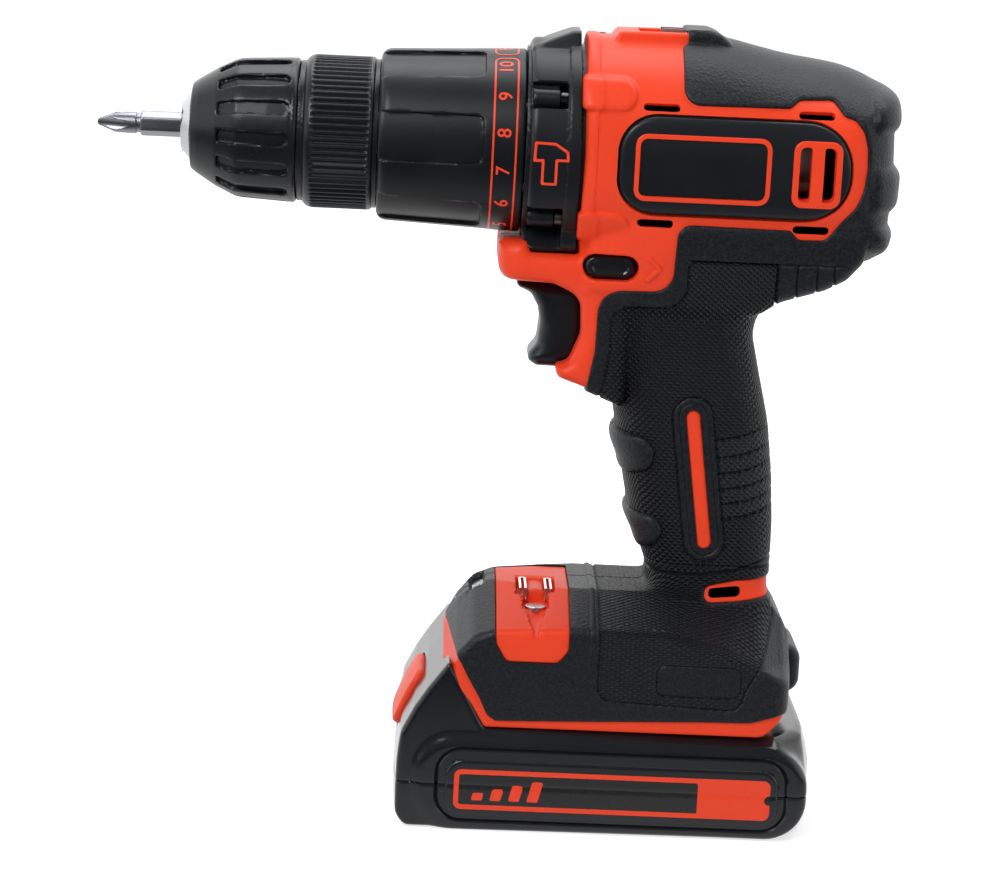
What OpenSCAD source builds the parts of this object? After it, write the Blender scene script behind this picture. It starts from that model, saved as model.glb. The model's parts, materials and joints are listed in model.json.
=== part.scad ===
// Cordless hammer drill with a slide-on battery pack.
// +X runs from the chuck to the back of the motor, +Z is up and the user's left side is -Y.
// The origin is the middle of the flat base of the battery pack.

/* [Spindle line] */
// Height of the spindle axis above the base
axis_z = 191; // [188:0.5:196]
// Front face of the housing shells, measured from the middle of the pack
shell_front_x = -15.9; // [-18:0.1:-14]
// Length of the housing shells behind that face
shell_len = 88.3; // [87:0.1:92]
// Half width of the barrel between its flat flanks
barrel_half_w = 31.4; // [30.5:0.1:33]
// How far the barrel's round top stands beyond the flanks
barrel_crown = 2.2; // [1.6:0.1:3]
// Wall of the moulded shells
shell_wall = 2.4; // [2:0.1:2.8]
// Thickness of the soft overmould
skin_t = 1.5; // [1.2:0.1:1.8]

/* [Grip] */
// Half width of the grip
grip_half_w = 17.4; // [16.5:0.1:19]
// Radius that rounds the grip in plan
grip_round_r = 23.4; // [22.5:0.1:25]
// Half width of the nose under the collar
nose_half_w = 19; // [18:0.1:21]
// Height of the spindle axis above the top of the nose
nose_drop = 26; // [25.5:0.1:27.5]
// Height of the nose in front of the trigger
nose_h = 12; // [11:0.1:13.5]
// Height of the spindle axis above the lower edge of the trigger guard
guard_drop = 66.4; // [65:0.1:68]

/* [Foot] */
// Half width of the foot
foot_half_w = 35.4; // [34.5:0.1:37]
// Height of the foot's lower edge above the base
foot_base_z = 30; // [29:0.1:31]
// Height of the foot's flat top above that edge
foot_h = 38.8; // [37:0.1:42]

/* [Gearcase and collar] */
// Length of the exposed gearcase
gearcase_len = 15.9; // [15:0.1:18]
// Radius of the exposed gearcase
gearcase_r = 29; // [28.6:0.1:29.5]
// Length of the torque collar
collar_len = 39.7; // [38:0.1:42]
// Radius of the collar at its rear edge
collar_r = 25.6; // [25.4:0.1:26]
// Radius of the collar at its front edge
collar_front_r = 23.9; // [23.8:0.1:24.4]
// Wall of the collar
collar_wall = 2.6; // [2:0.1:2.8]
// Outer radius of the threaded snout inside the collar
snout_r = 16; // [15.8:0.1:16.2]

/* [Chuck] */
// Length of the knurled rear ring
ring_len = 19.8; // [19:0.1:22]
// Radius over the ribs of the rear ring
ring_r = 21.4; // [21:0.1:22]
// Number of fine ribs on the rear ring
ring_ribs = 70; // [50:2:80]
// Length of the front sleeve
sleeve_len = 29.9; // [29:0.1:32]
// Largest radius of the front sleeve
sleeve_r = 20.3; // [20:0.1:21]
// Number of grip slots around the front sleeve
sleeve_slots = 12; // [8:1:14]
// Radius of the chuck body behind its nose
chuck_r = 16.6; // [16.4:0.1:17]
// Radius of a jaw
jaw_r = 4; // [3.6:0.1:4.1]
// Length of a jaw
jaw_len = 23; // [21:0.5:24]
// Angle between a jaw and the spindle axis
jaw_angle = 15; // [14:0.5:16]
// Travel of a jaw along its slot
jaw_travel = 12; // [10:0.5:12.5]

/* [Bit] */
// Width across the flats of the hexagonal shank
hex_af = 6.35; // [6:0.05:6.5]
// Length of the bit
bit_len = 50; // [48:1:52]
// Length of the bit that stands out of the chuck
bit_out = 23.6; // [20:0.1:26]

/* [Gear train] */
// Gear module
gear_mod = 0.8; // [0.78:0.01:0.81]
// Teeth on each sun gear
sun_teeth = 12; // [12:12:12]
// Teeth on each planet gear
planet_teeth = 18; // [18:18:18]
// Face width of the gears
gear_w = 7; // [6:0.1:8]
// Clearance taken off each tooth flank
flank_gap = 0.14; // [0.1:0.01:0.18]
// Radius of a planet's pin
pin_r = 2; // [1.8:0.1:2.2]

/* [Motor] */
// Radius of the motor can
motor_r = 18.2; // [17.5:0.1:19]
// Length of the motor can
motor_len = 46; // [44:0.1:47]
// Radius of the motor shaft
shaft_r = 1.6; // [1.5:0.05:1.8]

/* [Controls] */
// Travel of the trigger
trigger_travel = 6; // [5:0.1:6.5]
// Width of the trigger
trigger_w = 20; // [18:0.5:21]
// Travel of the direction selector to each side
selector_travel = 3; // [2:0.1:3.5]
// Travel of the pack's release button
release_travel = 2.5; // [2:0.1:3]

/* [Battery pack] */
// Free length inside the pack before and behind the cells
pack_end_room = 3.05; // [2.8:0.05:4.3]
// Free width inside the pack beside the cells
pack_side_room = 2.5; // [2.2:0.1:4]
// Height of the pack's base
pack_h = 27; // [26.5:0.1:27.5]
// Radius of a cell with its sleeve
cell_r = 9.2; // [9:0.05:9.3]
// Length of a cell
cell_len = 65; // [64:0.1:65.5]
// Gap between two cells
cell_gap = 0.6; // [0.4:0.05:0.7]
// Number of cells
cell_count = 5; // [5:1:5]
// Wall of the pack
pack_wall = 2; // [1.6:0.1:2.2]

/* [Clearances] */
// Gap between a sliding part and its guide
slide_gap = 0.35; // [0.3:0.01:0.4]
// Radial clearance of a part that turns on a pin or shaft
run_gap = 0.05; // [0.03:0.01:0.08]
// Gap between faces that turn past each other
turn_gap = 0.4; // [0.35:0.01:0.5]

/* [Hidden] */
$fn = 48;

// Colours
orange = [0.93, 0.22, 0.08];
soft_black = [0.09, 0.09, 0.10];
hard_black = [0.05, 0.05, 0.06];
steel = [0.72, 0.73, 0.75];
dark_steel = [0.42, 0.43, 0.45];
brass = [0.78, 0.62, 0.30];
copper = [0.72, 0.40, 0.22];

barrel_r = barrel_half_w + barrel_crown;

// Stations along the spindle axis, from the back to the front
shell_rear_x = shell_front_x + shell_len;
gearcase_x = shell_front_x - gearcase_len;
collar_rear_x = gearcase_x - 1.5;
collar_x = collar_rear_x - collar_len;
ring_rear_x = collar_x - 1.2;
ring_x = ring_rear_x - ring_len;
sleeve_rear_x = ring_x - 1.3;
sleeve_x = sleeve_rear_x - sleeve_len;
nose_x = sleeve_x - 2.8;
bit_tip_x = nose_x - bit_out;

// Gear train
ring_teeth = sun_teeth + 2 * planet_teeth;
planet_orbit = gear_mod * (sun_teeth + planet_teeth) / 2;
ring_root_r = gear_mod * ring_teeth / 2 + 1.25 * gear_mod;
ring_outer_r = ring_root_r + 2.4;
carrier_t = 2.6;
stage_gap = 0.8;
stage_2_x = gearcase_x + 12.6;
stage_1_x = stage_2_x + gear_w + carrier_t + 2 * stage_gap;
ring_front_x = stage_2_x - 0.3;
ring_end_x = stage_1_x + gear_w + 0.5;
motor_x = ring_end_x + 3.6;
motor_end_x = motor_x + motor_len;

// Spindle
spindle_r = 6;
bearing_r = 13;
bearing_w = 8;
bush_w = 6;
snout_x = collar_x + 5;
carrier_x = stage_2_x - stage_gap - carrier_t;

// Foot and pack
foot_top_z = foot_base_z + foot_h;
cell_pitch = 2 * cell_r + cell_gap;
pack_len = (cell_count - 1) * cell_pitch + 2 * (cell_r + pack_wall + pack_end_room);
pack_w = cell_len + 2 * (pack_wall + pack_side_room);
pack_top_z = foot_base_z - 0.3;
rail_z = foot_base_z + 6.5;
head_z = rail_z + 5.5;
rail_half_w = 18;
head_half_w = 23;

// Unit vector, and the flat part of a rounded corner [x, y, radius]
function unit(v) = v / norm(v);
function flat(p) = [p[0], p[1]];

// Corner i of a closed outline with its radius limited by its neighbours, as arc points
function corner(p, i, steps = 3) =
    let (n = len(p),
         b = flat(p[i]),
         to_a = flat(p[(i + n - 1) % n]) - b,
         to_c = flat(p[(i + 1) % n]) - b,
         half = acos(max(-1, min(1, unit(to_a) * unit(to_c)))) / 2,
         reach = min(p[i][2] / max(tan(half), 0.01), 0.45 * norm(to_a), 0.45 * norm(to_c)),
         r = reach * tan(half),
         middle = b + unit(unit(to_a) + unit(to_c)) * r / sin(half),
         start = b + unit(to_a) * reach - middle,
         finish = b + unit(to_c) * reach - middle,
         turn = start[0] * finish[1] - start[1] * finish[0] > 0 ? 1 : -1,
         sweep = 180 - 2 * half)
    p[i][2] <= 0 || sweep < 3
        ? [b]
        : [for (k = [0:steps])
            let (a = turn * sweep * k / steps)
            middle + [start[0] * cos(a) - start[1] * sin(a),
                      start[0] * sin(a) + start[1] * cos(a)]];
function rounded(p) = [for (i = [0:len(p) - 1]) each corner(p, i)];

// The same outline, drawn anticlockwise, with every edge moved in by d
function inset(p, d) =
    [for (i = [0:len(p) - 1])
        let (n = len(p),
             b = flat(p[i]),
             u = unit(b - flat(p[(i + n - 1) % n])),
             v = unit(flat(p[(i + 1) % n]) - b),
             in_u = [-u[1], u[0]],
             in_v = [-v[1], v[0]],
             move = (in_u + in_v) * d / (1 + in_u * in_v),
             left = u[0] * v[1] - u[1] * v[0] > 0)
        [b[0] + move[0], b[1] + move[1], max(p[i][2] + (left ? -d : d), 0)]];

// An outline in X and Z, extruded across the width w
module side_prism(p, w) {
    rotate([90, 0, 0]) linear_extrude(height = w, center = true) polygon(rounded(p));
}

// An outline in Y and Z, extruded from x0 to x1
module front_prism(p, x0, x1) {
    translate([x0, 0, 0]) rotate([90, 0, 90]) linear_extrude(height = x1 - x0) polygon(rounded(p));
}

// An outline in X and Y, extruded from z0 to z1
module plan_prism(p, z0, z1) {
    translate([0, 0, z0]) linear_extrude(height = z1 - z0) polygon(rounded(p));
}

// Right half [y, z, r] of a symmetrical outline, bottom to top, made whole
function mirrored(p) = concat(p, [for (i = [len(p) - 1:-1:0]) [-p[i][0], p[i][1], p[i][2]]]);

// Puts local +Z along +X on the spindle axis
module on_axis(x) {
    translate([x, 0, axis_z]) rotate([0, 90, 0]) children();
}

// A plain disc or ring on the spindle axis
module ring(x, w, r, bore = 0) {
    on_axis(x) difference() {
        cylinder(r = r, h = w);
        if (bore > 0) translate([0, 0, -1]) cylinder(r = bore, h = w + 2);
    }
}

// A revolved outline of [x, radius] points on the spindle axis
module turned(p) {
    translate([0, 0, axis_z]) rotate([0, 90, 0])
        rotate_extrude() polygon([for (q = p) [q[1], q[0]]]);
}

module half(side) {
    translate([-200, side < 0 ? -100 : 0, -10]) cube([400, 100, 300]);
}

// ---------------------------------------------------------------- outer shape

barrel_outline = [
    [shell_front_x, axis_z - 28.8, 0], [shell_rear_x - 13, axis_z - 29.6, 5],
    [shell_rear_x - 6, axis_z - 24.6, 5], [shell_rear_x, axis_z - 20.6, 4],
    [shell_rear_x + 1.9, axis_z - 12, 5], [shell_rear_x + 1.9, axis_z - 3, 4],
    [shell_rear_x - 0.8, axis_z + 4.5, 5], [shell_rear_x, axis_z + 13, 6],
    [shell_rear_x - 2.6, axis_z + 19.4, 4], [shell_rear_x - 8, axis_z + 20.8, 5],
    [shell_rear_x - 14.5, axis_z + 24.6, 10], [shell_rear_x - 31.5, axis_z + 26.8, 20],
    [shell_rear_x - 42.4, axis_z + 29.4, 20], [shell_rear_x - 50.4, axis_z + 31.3, 6],
    [shell_rear_x - 54.4, axis_z + barrel_r + 0.4, 3], [shell_front_x + 27.3, axis_z + barrel_r, 2],
    [shell_front_x + 8.3, axis_z + barrel_r, 1.5], [shell_front_x + 6.7, axis_z + barrel_r - 2, 1.5],
    [shell_front_x, axis_z + barrel_r - 2.2, 0]
];
barrel_plan = [
    [shell_front_x, -barrel_half_w, 0], [shell_rear_x + 2, -barrel_half_w, 17],
    [shell_rear_x + 2, barrel_half_w, 17], [shell_front_x, barrel_half_w, 0]
];

module barrel(d = 0) {
    intersection() {
        side_prism(inset(barrel_outline, d), 80);
        plan_prism(inset(barrel_plan, d), axis_z - 40, axis_z + 40);
        on_axis(shell_front_x - 1) cylinder(r = barrel_r - d, h = shell_len + 10);
    }
}

// The nose under the collar, with the trigger guard's back strip
nose_top_z = axis_z - nose_drop;
nose_base_z = nose_top_z - nose_h;
guard_z = axis_z - guard_drop;
nose_len = 23.2;
nose_outline = [
    [shell_front_x + 2.6, guard_z, 3], [shell_front_x + 14, guard_z, 0],
    [shell_front_x + 18, nose_top_z + 3, 0], [shell_front_x + 1, nose_top_z + 3, 0],
    [shell_front_x, nose_top_z, 0], [shell_front_x - nose_len, nose_top_z, 1.5],
    [shell_front_x - nose_len + 0.4, nose_base_z + 3, 3],
    [shell_front_x - nose_len + 3.2, nose_base_z + 0.6, 2],
    [shell_front_x - 5, nose_base_z, 4], [shell_front_x + 0.7, nose_base_z - 4.6, 5],
    [shell_front_x + 1.9, nose_base_z - 12.4, 8], [shell_front_x - 0.5, guard_z + 7.2, 2.5],
    [shell_front_x - 4.7, guard_z + 5.4, 0.8], [shell_front_x - 4.4, guard_z + 3.6, 0.8]
];
nose_plan = [
    [shell_front_x - nose_len, -nose_half_w, 9], [shell_front_x + 20, -nose_half_w, 0],
    [shell_front_x + 20, nose_half_w, 0], [shell_front_x - nose_len, nose_half_w, 9]
];

module nose() {
    difference() {
        intersection() {
            side_prism(nose_outline, 80);
            plan_prism(nose_plan, guard_z - 5, nose_top_z + 10);
        }
        on_axis(gearcase_x - 10) cylinder(r = gearcase_r + 0.1, h = gearcase_len + 10);
    }
}

// The saddle under the barrel that spreads the grip's load and tails off at the back
saddle_outline = [
    [shell_front_x, nose_base_z - 1, 0], [shell_front_x + 24, axis_z - 43, 0],
    [shell_front_x + 52, axis_z - 43.8, 4], [shell_front_x + 58, axis_z - 40, 4],
    [shell_front_x + 66, axis_z - 36.8, 8], [shell_front_x + 74.4, axis_z - 32.6, 4],
    [shell_front_x + 78.4, axis_z - 27.4, 3], [shell_front_x + 79.5, axis_z - 21, 0],
    [shell_front_x, axis_z - 21, 0]
];
saddle_front = [
    [19, axis_z - 44, 3], [22, axis_z - 41, 4], [27.5, axis_z - 29, 4], [28.5, axis_z - 20, 0]
];
saddle_plan = [
    [shell_front_x - 1, -nose_half_w - 2, 0], [shell_front_x + 16, -27, 12], [shell_front_x + 90, -27, 0],
    [shell_front_x + 90, 27, 0], [shell_front_x + 16, 27, 12], [shell_front_x - 1, nose_half_w + 2, 0]
];

module saddle(d = 0) {
    intersection() {
        side_prism(inset(saddle_outline, d), 80);
        front_prism(inset(mirrored(saddle_front), d), shell_front_x - 5, shell_front_x + 90);
        plan_prism(inset(saddle_plan, d), axis_z - 50, axis_z);
    }
}

// The grip: a leaning column with two finger bumps on its front
grip_h = axis_z - foot_top_z;
grip_lean = 10.4;
grip_mid_x = 20;
grip_outline = [
    [grip_mid_x - 8, foot_top_z - 12, 0], [grip_mid_x + 24, foot_top_z - 12, 3],
    [grip_mid_x + 22.4, foot_top_z + 0.02 * grip_h, 8], [grip_mid_x + 23, foot_top_z + 0.14 * grip_h, 30],
    [grip_mid_x + 22.2, foot_top_z + 0.27 * grip_h, 40], [grip_mid_x + 19.2, foot_top_z + 0.42 * grip_h, 20],
    [grip_mid_x + 14.7, foot_top_z + 0.54 * grip_h, 8], [grip_mid_x + 14.2, foot_top_z + 0.6 * grip_h, 4],
    [grip_mid_x + 17.6, foot_top_z + 0.64 * grip_h, 2], [grip_mid_x + 17.6, axis_z - 24, 0],
    [grip_mid_x - 28, axis_z - 24, 0], [grip_mid_x - 29, foot_top_z + 0.46 * grip_h, 2],
    [grip_mid_x - 24, foot_top_z + 0.41 * grip_h, 3], [grip_mid_x - 21.9, foot_top_z + 0.355 * grip_h, 3],
    [grip_mid_x - 23, foot_top_z + 0.31 * grip_h, 3], [grip_mid_x - 18.4, foot_top_z + 0.21 * grip_h, 6],
    [grip_mid_x - 17.8, foot_top_z + 0.155 * grip_h, 3], [grip_mid_x - 13, foot_top_z + 0.06 * grip_h, 8],
    [grip_mid_x - 9.5, foot_top_z - 2, 4]
];

module grip(d = 0) {
    intersection() {
        side_prism(inset(grip_outline, d), 2 * (grip_half_w - d));
        translate([grip_mid_x, 0, foot_top_z + 0.3 * grip_h]) rotate([0, -grip_lean, 0])
            cylinder(r = grip_round_r - d, h = 2 * grip_h, center = true);
    }
}

// The foot that the pack slides under
foot_front_x = -36.3;
foot_outline = [
    [foot_front_x, foot_base_z, 3], [grip_mid_x + 35.5, foot_base_z, 2],
    [grip_mid_x + 35.6, foot_base_z + 5, 2], [grip_mid_x + 34.6, foot_base_z + 14, 3],
    [grip_mid_x + 29, foot_base_z + 21.5, 4], [grip_mid_x + 26, foot_base_z + 28.5, 4],
    [grip_mid_x + 22, foot_top_z - 3, 4], [grip_mid_x + 10, foot_top_z, 0],
    [foot_front_x + 8, foot_top_z - 0.4, 9], [foot_front_x - 3.2, foot_top_z - 5, 7],
    [foot_front_x - 8.2, foot_top_z - 9, 5], [foot_front_x - 12.2, foot_top_z - 10.6, 1.5],
    [foot_front_x - 9.3, foot_base_z + 18.6, 5]
];
foot_front = [
    [foot_half_w, foot_base_z - 1, 0], [foot_half_w, foot_top_z - 19.5, 5],
    [foot_half_w - 4.4, foot_top_z - 12.2, 4], [grip_half_w + 3, foot_top_z - 1.2, 8],
    [grip_half_w - 5, foot_top_z + 0.4, 6]
];
foot_plan = [
    [foot_front_x - 13, -25, 8], [foot_front_x - 8, -foot_half_w, 10],
    [grip_mid_x + 26.6, -foot_half_w, 8], [grip_mid_x + 35.8, -16, 8],
    [grip_mid_x + 35.8, 16, 8], [grip_mid_x + 26.6, foot_half_w, 8],
    [foot_front_x - 8, foot_half_w, 10], [foot_front_x - 13, 25, 8]
];

module foot(d = 0) {
    intersection() {
        side_prism(inset(foot_outline, d), 90);
        front_prism(inset(mirrored(foot_front), d), -80, 80);
        plan_prism(inset(foot_plan, d), foot_base_z - 5, foot_top_z + 5);
    }
}

module skinned(d = 0) {
    barrel(d);
    saddle(d);
    grip(d);
    foot(d);
}

// The hard orange plastic shows inside this side outline
bare_outline = [
    [shell_front_x - 30, guard_z - 4, 0], [shell_front_x + 4.4, guard_z - 4, 0],
    [shell_front_x + 5.8, axis_z - 56, 0], [shell_front_x + 5.9, axis_z - 38.4, 6],
    [shell_front_x + 25.9, axis_z - 38.2, 5], [shell_front_x + 25.9, axis_z - 20, 4],
    [shell_rear_x - 13, axis_z - 20, 0],
    [shell_rear_x - 8.8, axis_z - 2.7, 9], [shell_rear_x - 12, axis_z + 14.4, 9],
    [shell_front_x + 29, axis_z + 14.4, 3], [shell_front_x + 26, axis_z + 21, 4],
    [shell_front_x + 26, axis_z + 50, 0], [shell_front_x - 30, axis_z + 50, 0]
];
trim_h = 3;
trim_outline = [
    [foot_front_x - 40, foot_base_z - 5, 0], [foot_front_x + 120, foot_base_z - 5, 0],
    [foot_front_x + 120, foot_base_z + trim_h, 0], [foot_front_x + 1.6, foot_base_z + trim_h, 1],
    [foot_front_x - 6.6, foot_base_z + 19, 3], [foot_front_x - 9.6, foot_top_z - 8, 0],
    [foot_front_x - 40, foot_top_z - 8, 0]
];

module bare_zone() {
    side_prism(bare_outline, 120);
    side_prism(trim_outline, 120);
}

// ---------------------------------------------------------------- housing

selector_x = shell_front_x + 8.8;
selector_z = axis_z - 31.3;
selector_w = 13;
selector_h = 6.6;

// Screws along Y: [x, z]
screw_places = [
    [shell_front_x + 5, axis_z + 27], [shell_rear_x - 14, axis_z + 18],
    [shell_rear_x - 11, axis_z - 22.5], [shell_front_x + 33, axis_z - 38],
    [grip_mid_x - 12, foot_top_z + 0.3 * grip_h], [grip_mid_x + 13, foot_top_z + 0.08 * grip_h],
    [foot_front_x + 1, foot_base_z + 21], [grip_mid_x + 27, foot_base_z + 12]
];
screw_r = 1.5;
screw_head_r = 3;
boss_r = 3.6;

module screw_bosses() {
    for (p = screw_places)
        translate([p[0], 0, p[1]]) rotate([90, 0, 0]) cylinder(r = boss_r, h = 90, center = true);
}

// Head bores open on the right side and end in blind pilot holes on the left side
function screw_head_y(p) =
    p[1] > axis_z - 30 ? 17 : p[1] < foot_top_z ? 24 : 9;

module screw_bores() {
    for (p = screw_places)
        translate([p[0], screw_head_y(p), p[1]]) rotate([-90, 0, 0]) {
            cylinder(r = screw_head_r + 0.5, h = 60);
            translate([0, 0, -1.5 - screw_head_y(p)]) cylinder(r = screw_r + 0.2, h = screw_head_y(p) + 2);
            translate([0, 0, -screw_head_y(p) - 10.5]) cylinder(r = screw_r, h = 10);
        }
}

gearcase_can_r = ring_outer_r + 1.8;
rib_w = 2.4;

// The hollow of the shells: a tapering round barrel, a flat-sided grip and a low foot
hollow_r = barrel_half_w - skin_t - shell_wall;
barrel_hollow = [
    [shell_front_x - 1, hollow_r], [shell_front_x + 34, hollow_r - 1], [shell_front_x + 60, motor_r + 4],
    [shell_front_x + 75, motor_r + 3], [shell_rear_x - 4, motor_r + 0.8]
];
grip_hollow = [
    [grip_mid_x - 6, foot_top_z - 20, 0], [grip_mid_x + 19, foot_top_z - 20, 0],
    [grip_mid_x + 18, foot_top_z + 0.2 * grip_h, 8], [grip_mid_x + 10, foot_top_z + 0.56 * grip_h, 8],
    [grip_mid_x + 10, axis_z - 24, 0], [grip_mid_x - 22, axis_z - 24, 0],
    [grip_mid_x - 17.6, foot_top_z + 0.36 * grip_h, 5], [grip_mid_x - 12, foot_top_z + 0.16 * grip_h, 8]
];
module hollow() {
    turned(concat([[shell_front_x - 1, 0]], barrel_hollow, [[shell_rear_x - 4, 0]]));
    intersection() {
        side_prism(grip_hollow, 2 * (grip_half_w - skin_t - shell_wall));
        translate([grip_mid_x, 0, foot_top_z + 0.3 * grip_h]) rotate([0, -grip_lean, 0])
            cylinder(r = grip_round_r - skin_t - shell_wall, h = 2 * grip_h, center = true);
    }
    translate([foot_front_x, -foot_half_w + skin_t + shell_wall, rail_z])
        cube([grip_mid_x + 26 - foot_front_x, 2 * (foot_half_w - skin_t - shell_wall), foot_top_z - 19 - rail_z]);
    translate([foot_front_x + 4, -grip_half_w, rail_z])
        cube([grip_mid_x + 18 - foot_front_x, 2 * grip_half_w, foot_h - 10.5]);
}

module cradle_ribs() {
    for (x = [ring_front_x + 4, ring_end_x + 5.5, motor_x + 17])
        translate([x, -40, axis_z - 40]) cube([rib_w, 80, 80]);
}

// The space inside the shells that the gearcase, motor, switch, trigger and pack need
trigger_low_z = guard_z + 3.4;
trigger_top_z = nose_base_z - 1.5;
switch_x0 = shell_front_x + 10.5;
switch_drop = 66;
switch_z0 = axis_z - switch_drop;
switch_len = 25;
switch_h = 27;
switch_w = 22;
module inner_space() {
    on_axis(shell_front_x - 1) cylinder(r = gearcase_can_r, h = ring_end_x - shell_front_x + 4.5);
    on_axis(motor_x - 1) cylinder(r = motor_r, h = motor_len + 12);
    translate([switch_x0, -switch_w / 2, switch_z0]) cube([switch_len, switch_w, switch_h]);
    translate([shell_front_x - 8, -trigger_w / 2 - slide_gap, trigger_low_z - 0.6])
        cube([switch_x0 - shell_front_x + 8.5, trigger_w + 2 * slide_gap, trigger_top_z - trigger_low_z + 1.2]);
    translate([foot_front_x - 20, -rail_half_w, foot_base_z - 1]) cube([rail_span + 20, 2 * rail_half_w, 8]);
    translate([foot_front_x - 20, -head_half_w - slide_gap, rail_z])
        cube([rail_span + 20, 2 * (head_half_w + slide_gap), head_z - rail_z + slide_gap]);
    translate([foot_front_x - 7, -11, foot_top_z - 22]) cube([13, 22, 9]);
}
rail_span = 78;

module vent_windows() {
    for (s = [-1, 1])
        translate([shell_rear_x - 26.4, s * barrel_half_w, axis_z - 2])
            cube([12, 12, 17], center = true);
}

module panel_pockets(gap = 0) {
    for (s = [-1, 1]) translate([0, s * (barrel_half_w - 0.1), 0])
        side_prism(inset(plate_outline, -gap), 2.4);
}

module selector_hole(gap) {
    translate([selector_x + selector_w / 2, 0, selector_z]) rotate([90, 0, 0])
        linear_extrude(height = 90, center = true)
            for (s = [-1, 1]) {
                translate([s * (selector_w - selector_h) / 2, 0]) circle(r = selector_h / 2 + gap);
                square([selector_w - selector_h, selector_h + 2 * gap], center = true);
            }
}

insert_outline = [
    [foot_front_x + 8.5, foot_base_z + 18, 4], [foot_front_x + 22, foot_base_z + 18, 4],
    [foot_front_x + 24, foot_base_z + 24, 3], [foot_front_x + 24, foot_top_z + 4, 0],
    [foot_front_x + 3, foot_top_z + 4, 0], [foot_front_x + 3, foot_base_z + 24, 3]
];
insert_y = -20;

module foot_insert_block(gap = 0) {
    intersection() {
        side_prism(inset(insert_outline, -gap), 80);
        translate([-80, -60, 0]) cube([160, 60 + insert_y + gap, 100]);
    }
}

light_x = foot_front_x - 5;
light_z = foot_top_z - 8;
module light_pocket(gap = 0) {
    translate([light_x, 0, light_z]) rotate([0, -48, 0])
        cylinder(r = 5 + gap, h = 20, center = true);
}

top_clip_x = shell_front_x + 17.5;
module top_pocket() {
    translate([top_clip_x, -7, axis_z + 29.4]) cube([12.6, 14, 10]);
}

strip_len = 40;
strip_w = 3.2;
module strip_slots(gap = 0, deep = 0) {
    for (s = [-1, 1])
        translate([grip_mid_x + 0.8, s * (grip_half_w - 1.2 + deep), foot_top_z + 31]) rotate([0, -8.2, 0])
            rotate([90, 0, 0]) linear_extrude(height = 2.4, center = true)
                polygon(rounded([
                    [-strip_w / 2 - gap, -strip_len / 2 - gap, 1.4],
                    [strip_w / 2 + gap, -strip_len / 2 - gap, 1.4],
                    [strip_w / 2 + gap, strip_len / 2 + gap, 1.4],
                    [-strip_w / 2 - gap, strip_len / 2 + gap, 1.4]]));
}

module housing_half(side) {
    intersection() {
        difference() {
            union() {
                intersection() {
                    skinned();
                    bare_zone();
                }
                skinned(skin_t);
                nose();
            }
            difference() {
                hollow();
                screw_bosses();
                cradle_ribs();
            }
            inner_space();
            screw_bores();
            vent_windows();
            panel_pockets();
            selector_hole(slide_gap);
            light_pocket();
            top_pocket();
            foot_insert_block();
            strip_slots();
        }
        half(side);
    }
}

module housing_left() { color(orange) housing_half(-1); }
module housing_right() { color(orange) housing_half(1); }

module overmould_half(side) {
    intersection() {
        difference() {
            skinned();
            skinned(skin_t);
            bare_zone();
            nose();
            inner_space();
            screw_bores();
            foot_insert_block();
            light_pocket();
            top_pocket();
            strip_slots();
        }
        half(side);
    }
}
module overmould_left() { color(soft_black) overmould_half(-1); }
module overmould_right() { color(soft_black) overmould_half(1); }

// ---------------------------------------------------------------- trim on the housing

plate_outline = [
    [shell_front_x + 7.4, axis_z - 17, 10], [shell_rear_x - 14, axis_z - 17, 12],
    [shell_rear_x - 14, axis_z + 10.6, 12], [shell_front_x + 7.4, axis_z + 10.6, 10]
];

module side_panels() {
    color(hard_black) difference() {
        intersection() {
            panel_pockets(-0.05);
            barrel();
        }
        vent_windows();
    }
}

module vent_louvres() {
    color(orange) for (s = [-1, 1])
        translate([shell_rear_x - 26.4, s * (barrel_half_w - 2.2), axis_z - 2]) difference() {
            cube([11.8, 1.6, 16.8], center = true);
            for (x = [-3, 3]) translate([x, 0, 0]) cube([2.6, 4, 12], center = true);
        }
}

module grip_strips() {
    color(orange) intersection() {
        strip_slots(-0.05, 0);
        grip();
    }
}

module housing_screws() {
    color(dark_steel) for (p = screw_places)
        translate([p[0], screw_head_y(p), p[1]]) rotate([-90, 0, 0]) difference() {
            union() {
                cylinder(r = screw_head_r, h = 2.2);
                translate([0, 0, -screw_head_y(p) - 9.5]) cylinder(r = screw_r, h = screw_head_y(p) + 9.6);
            }
            translate([0, 0, 1]) cylinder(r = 1.4, h = 2, $fn = 6);
        }
}

// ---------------------------------------------------------------- gearcase and clutch

pocket_angles = [38, 142, 218, 322];
gear_screw_r = 1.6;
gear_screw_orbit = gearcase_r - 4;
pin_count = 6;
pin_orbit = ring_root_r + 1.2;
clutch_pin_r = 1.5;

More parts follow.
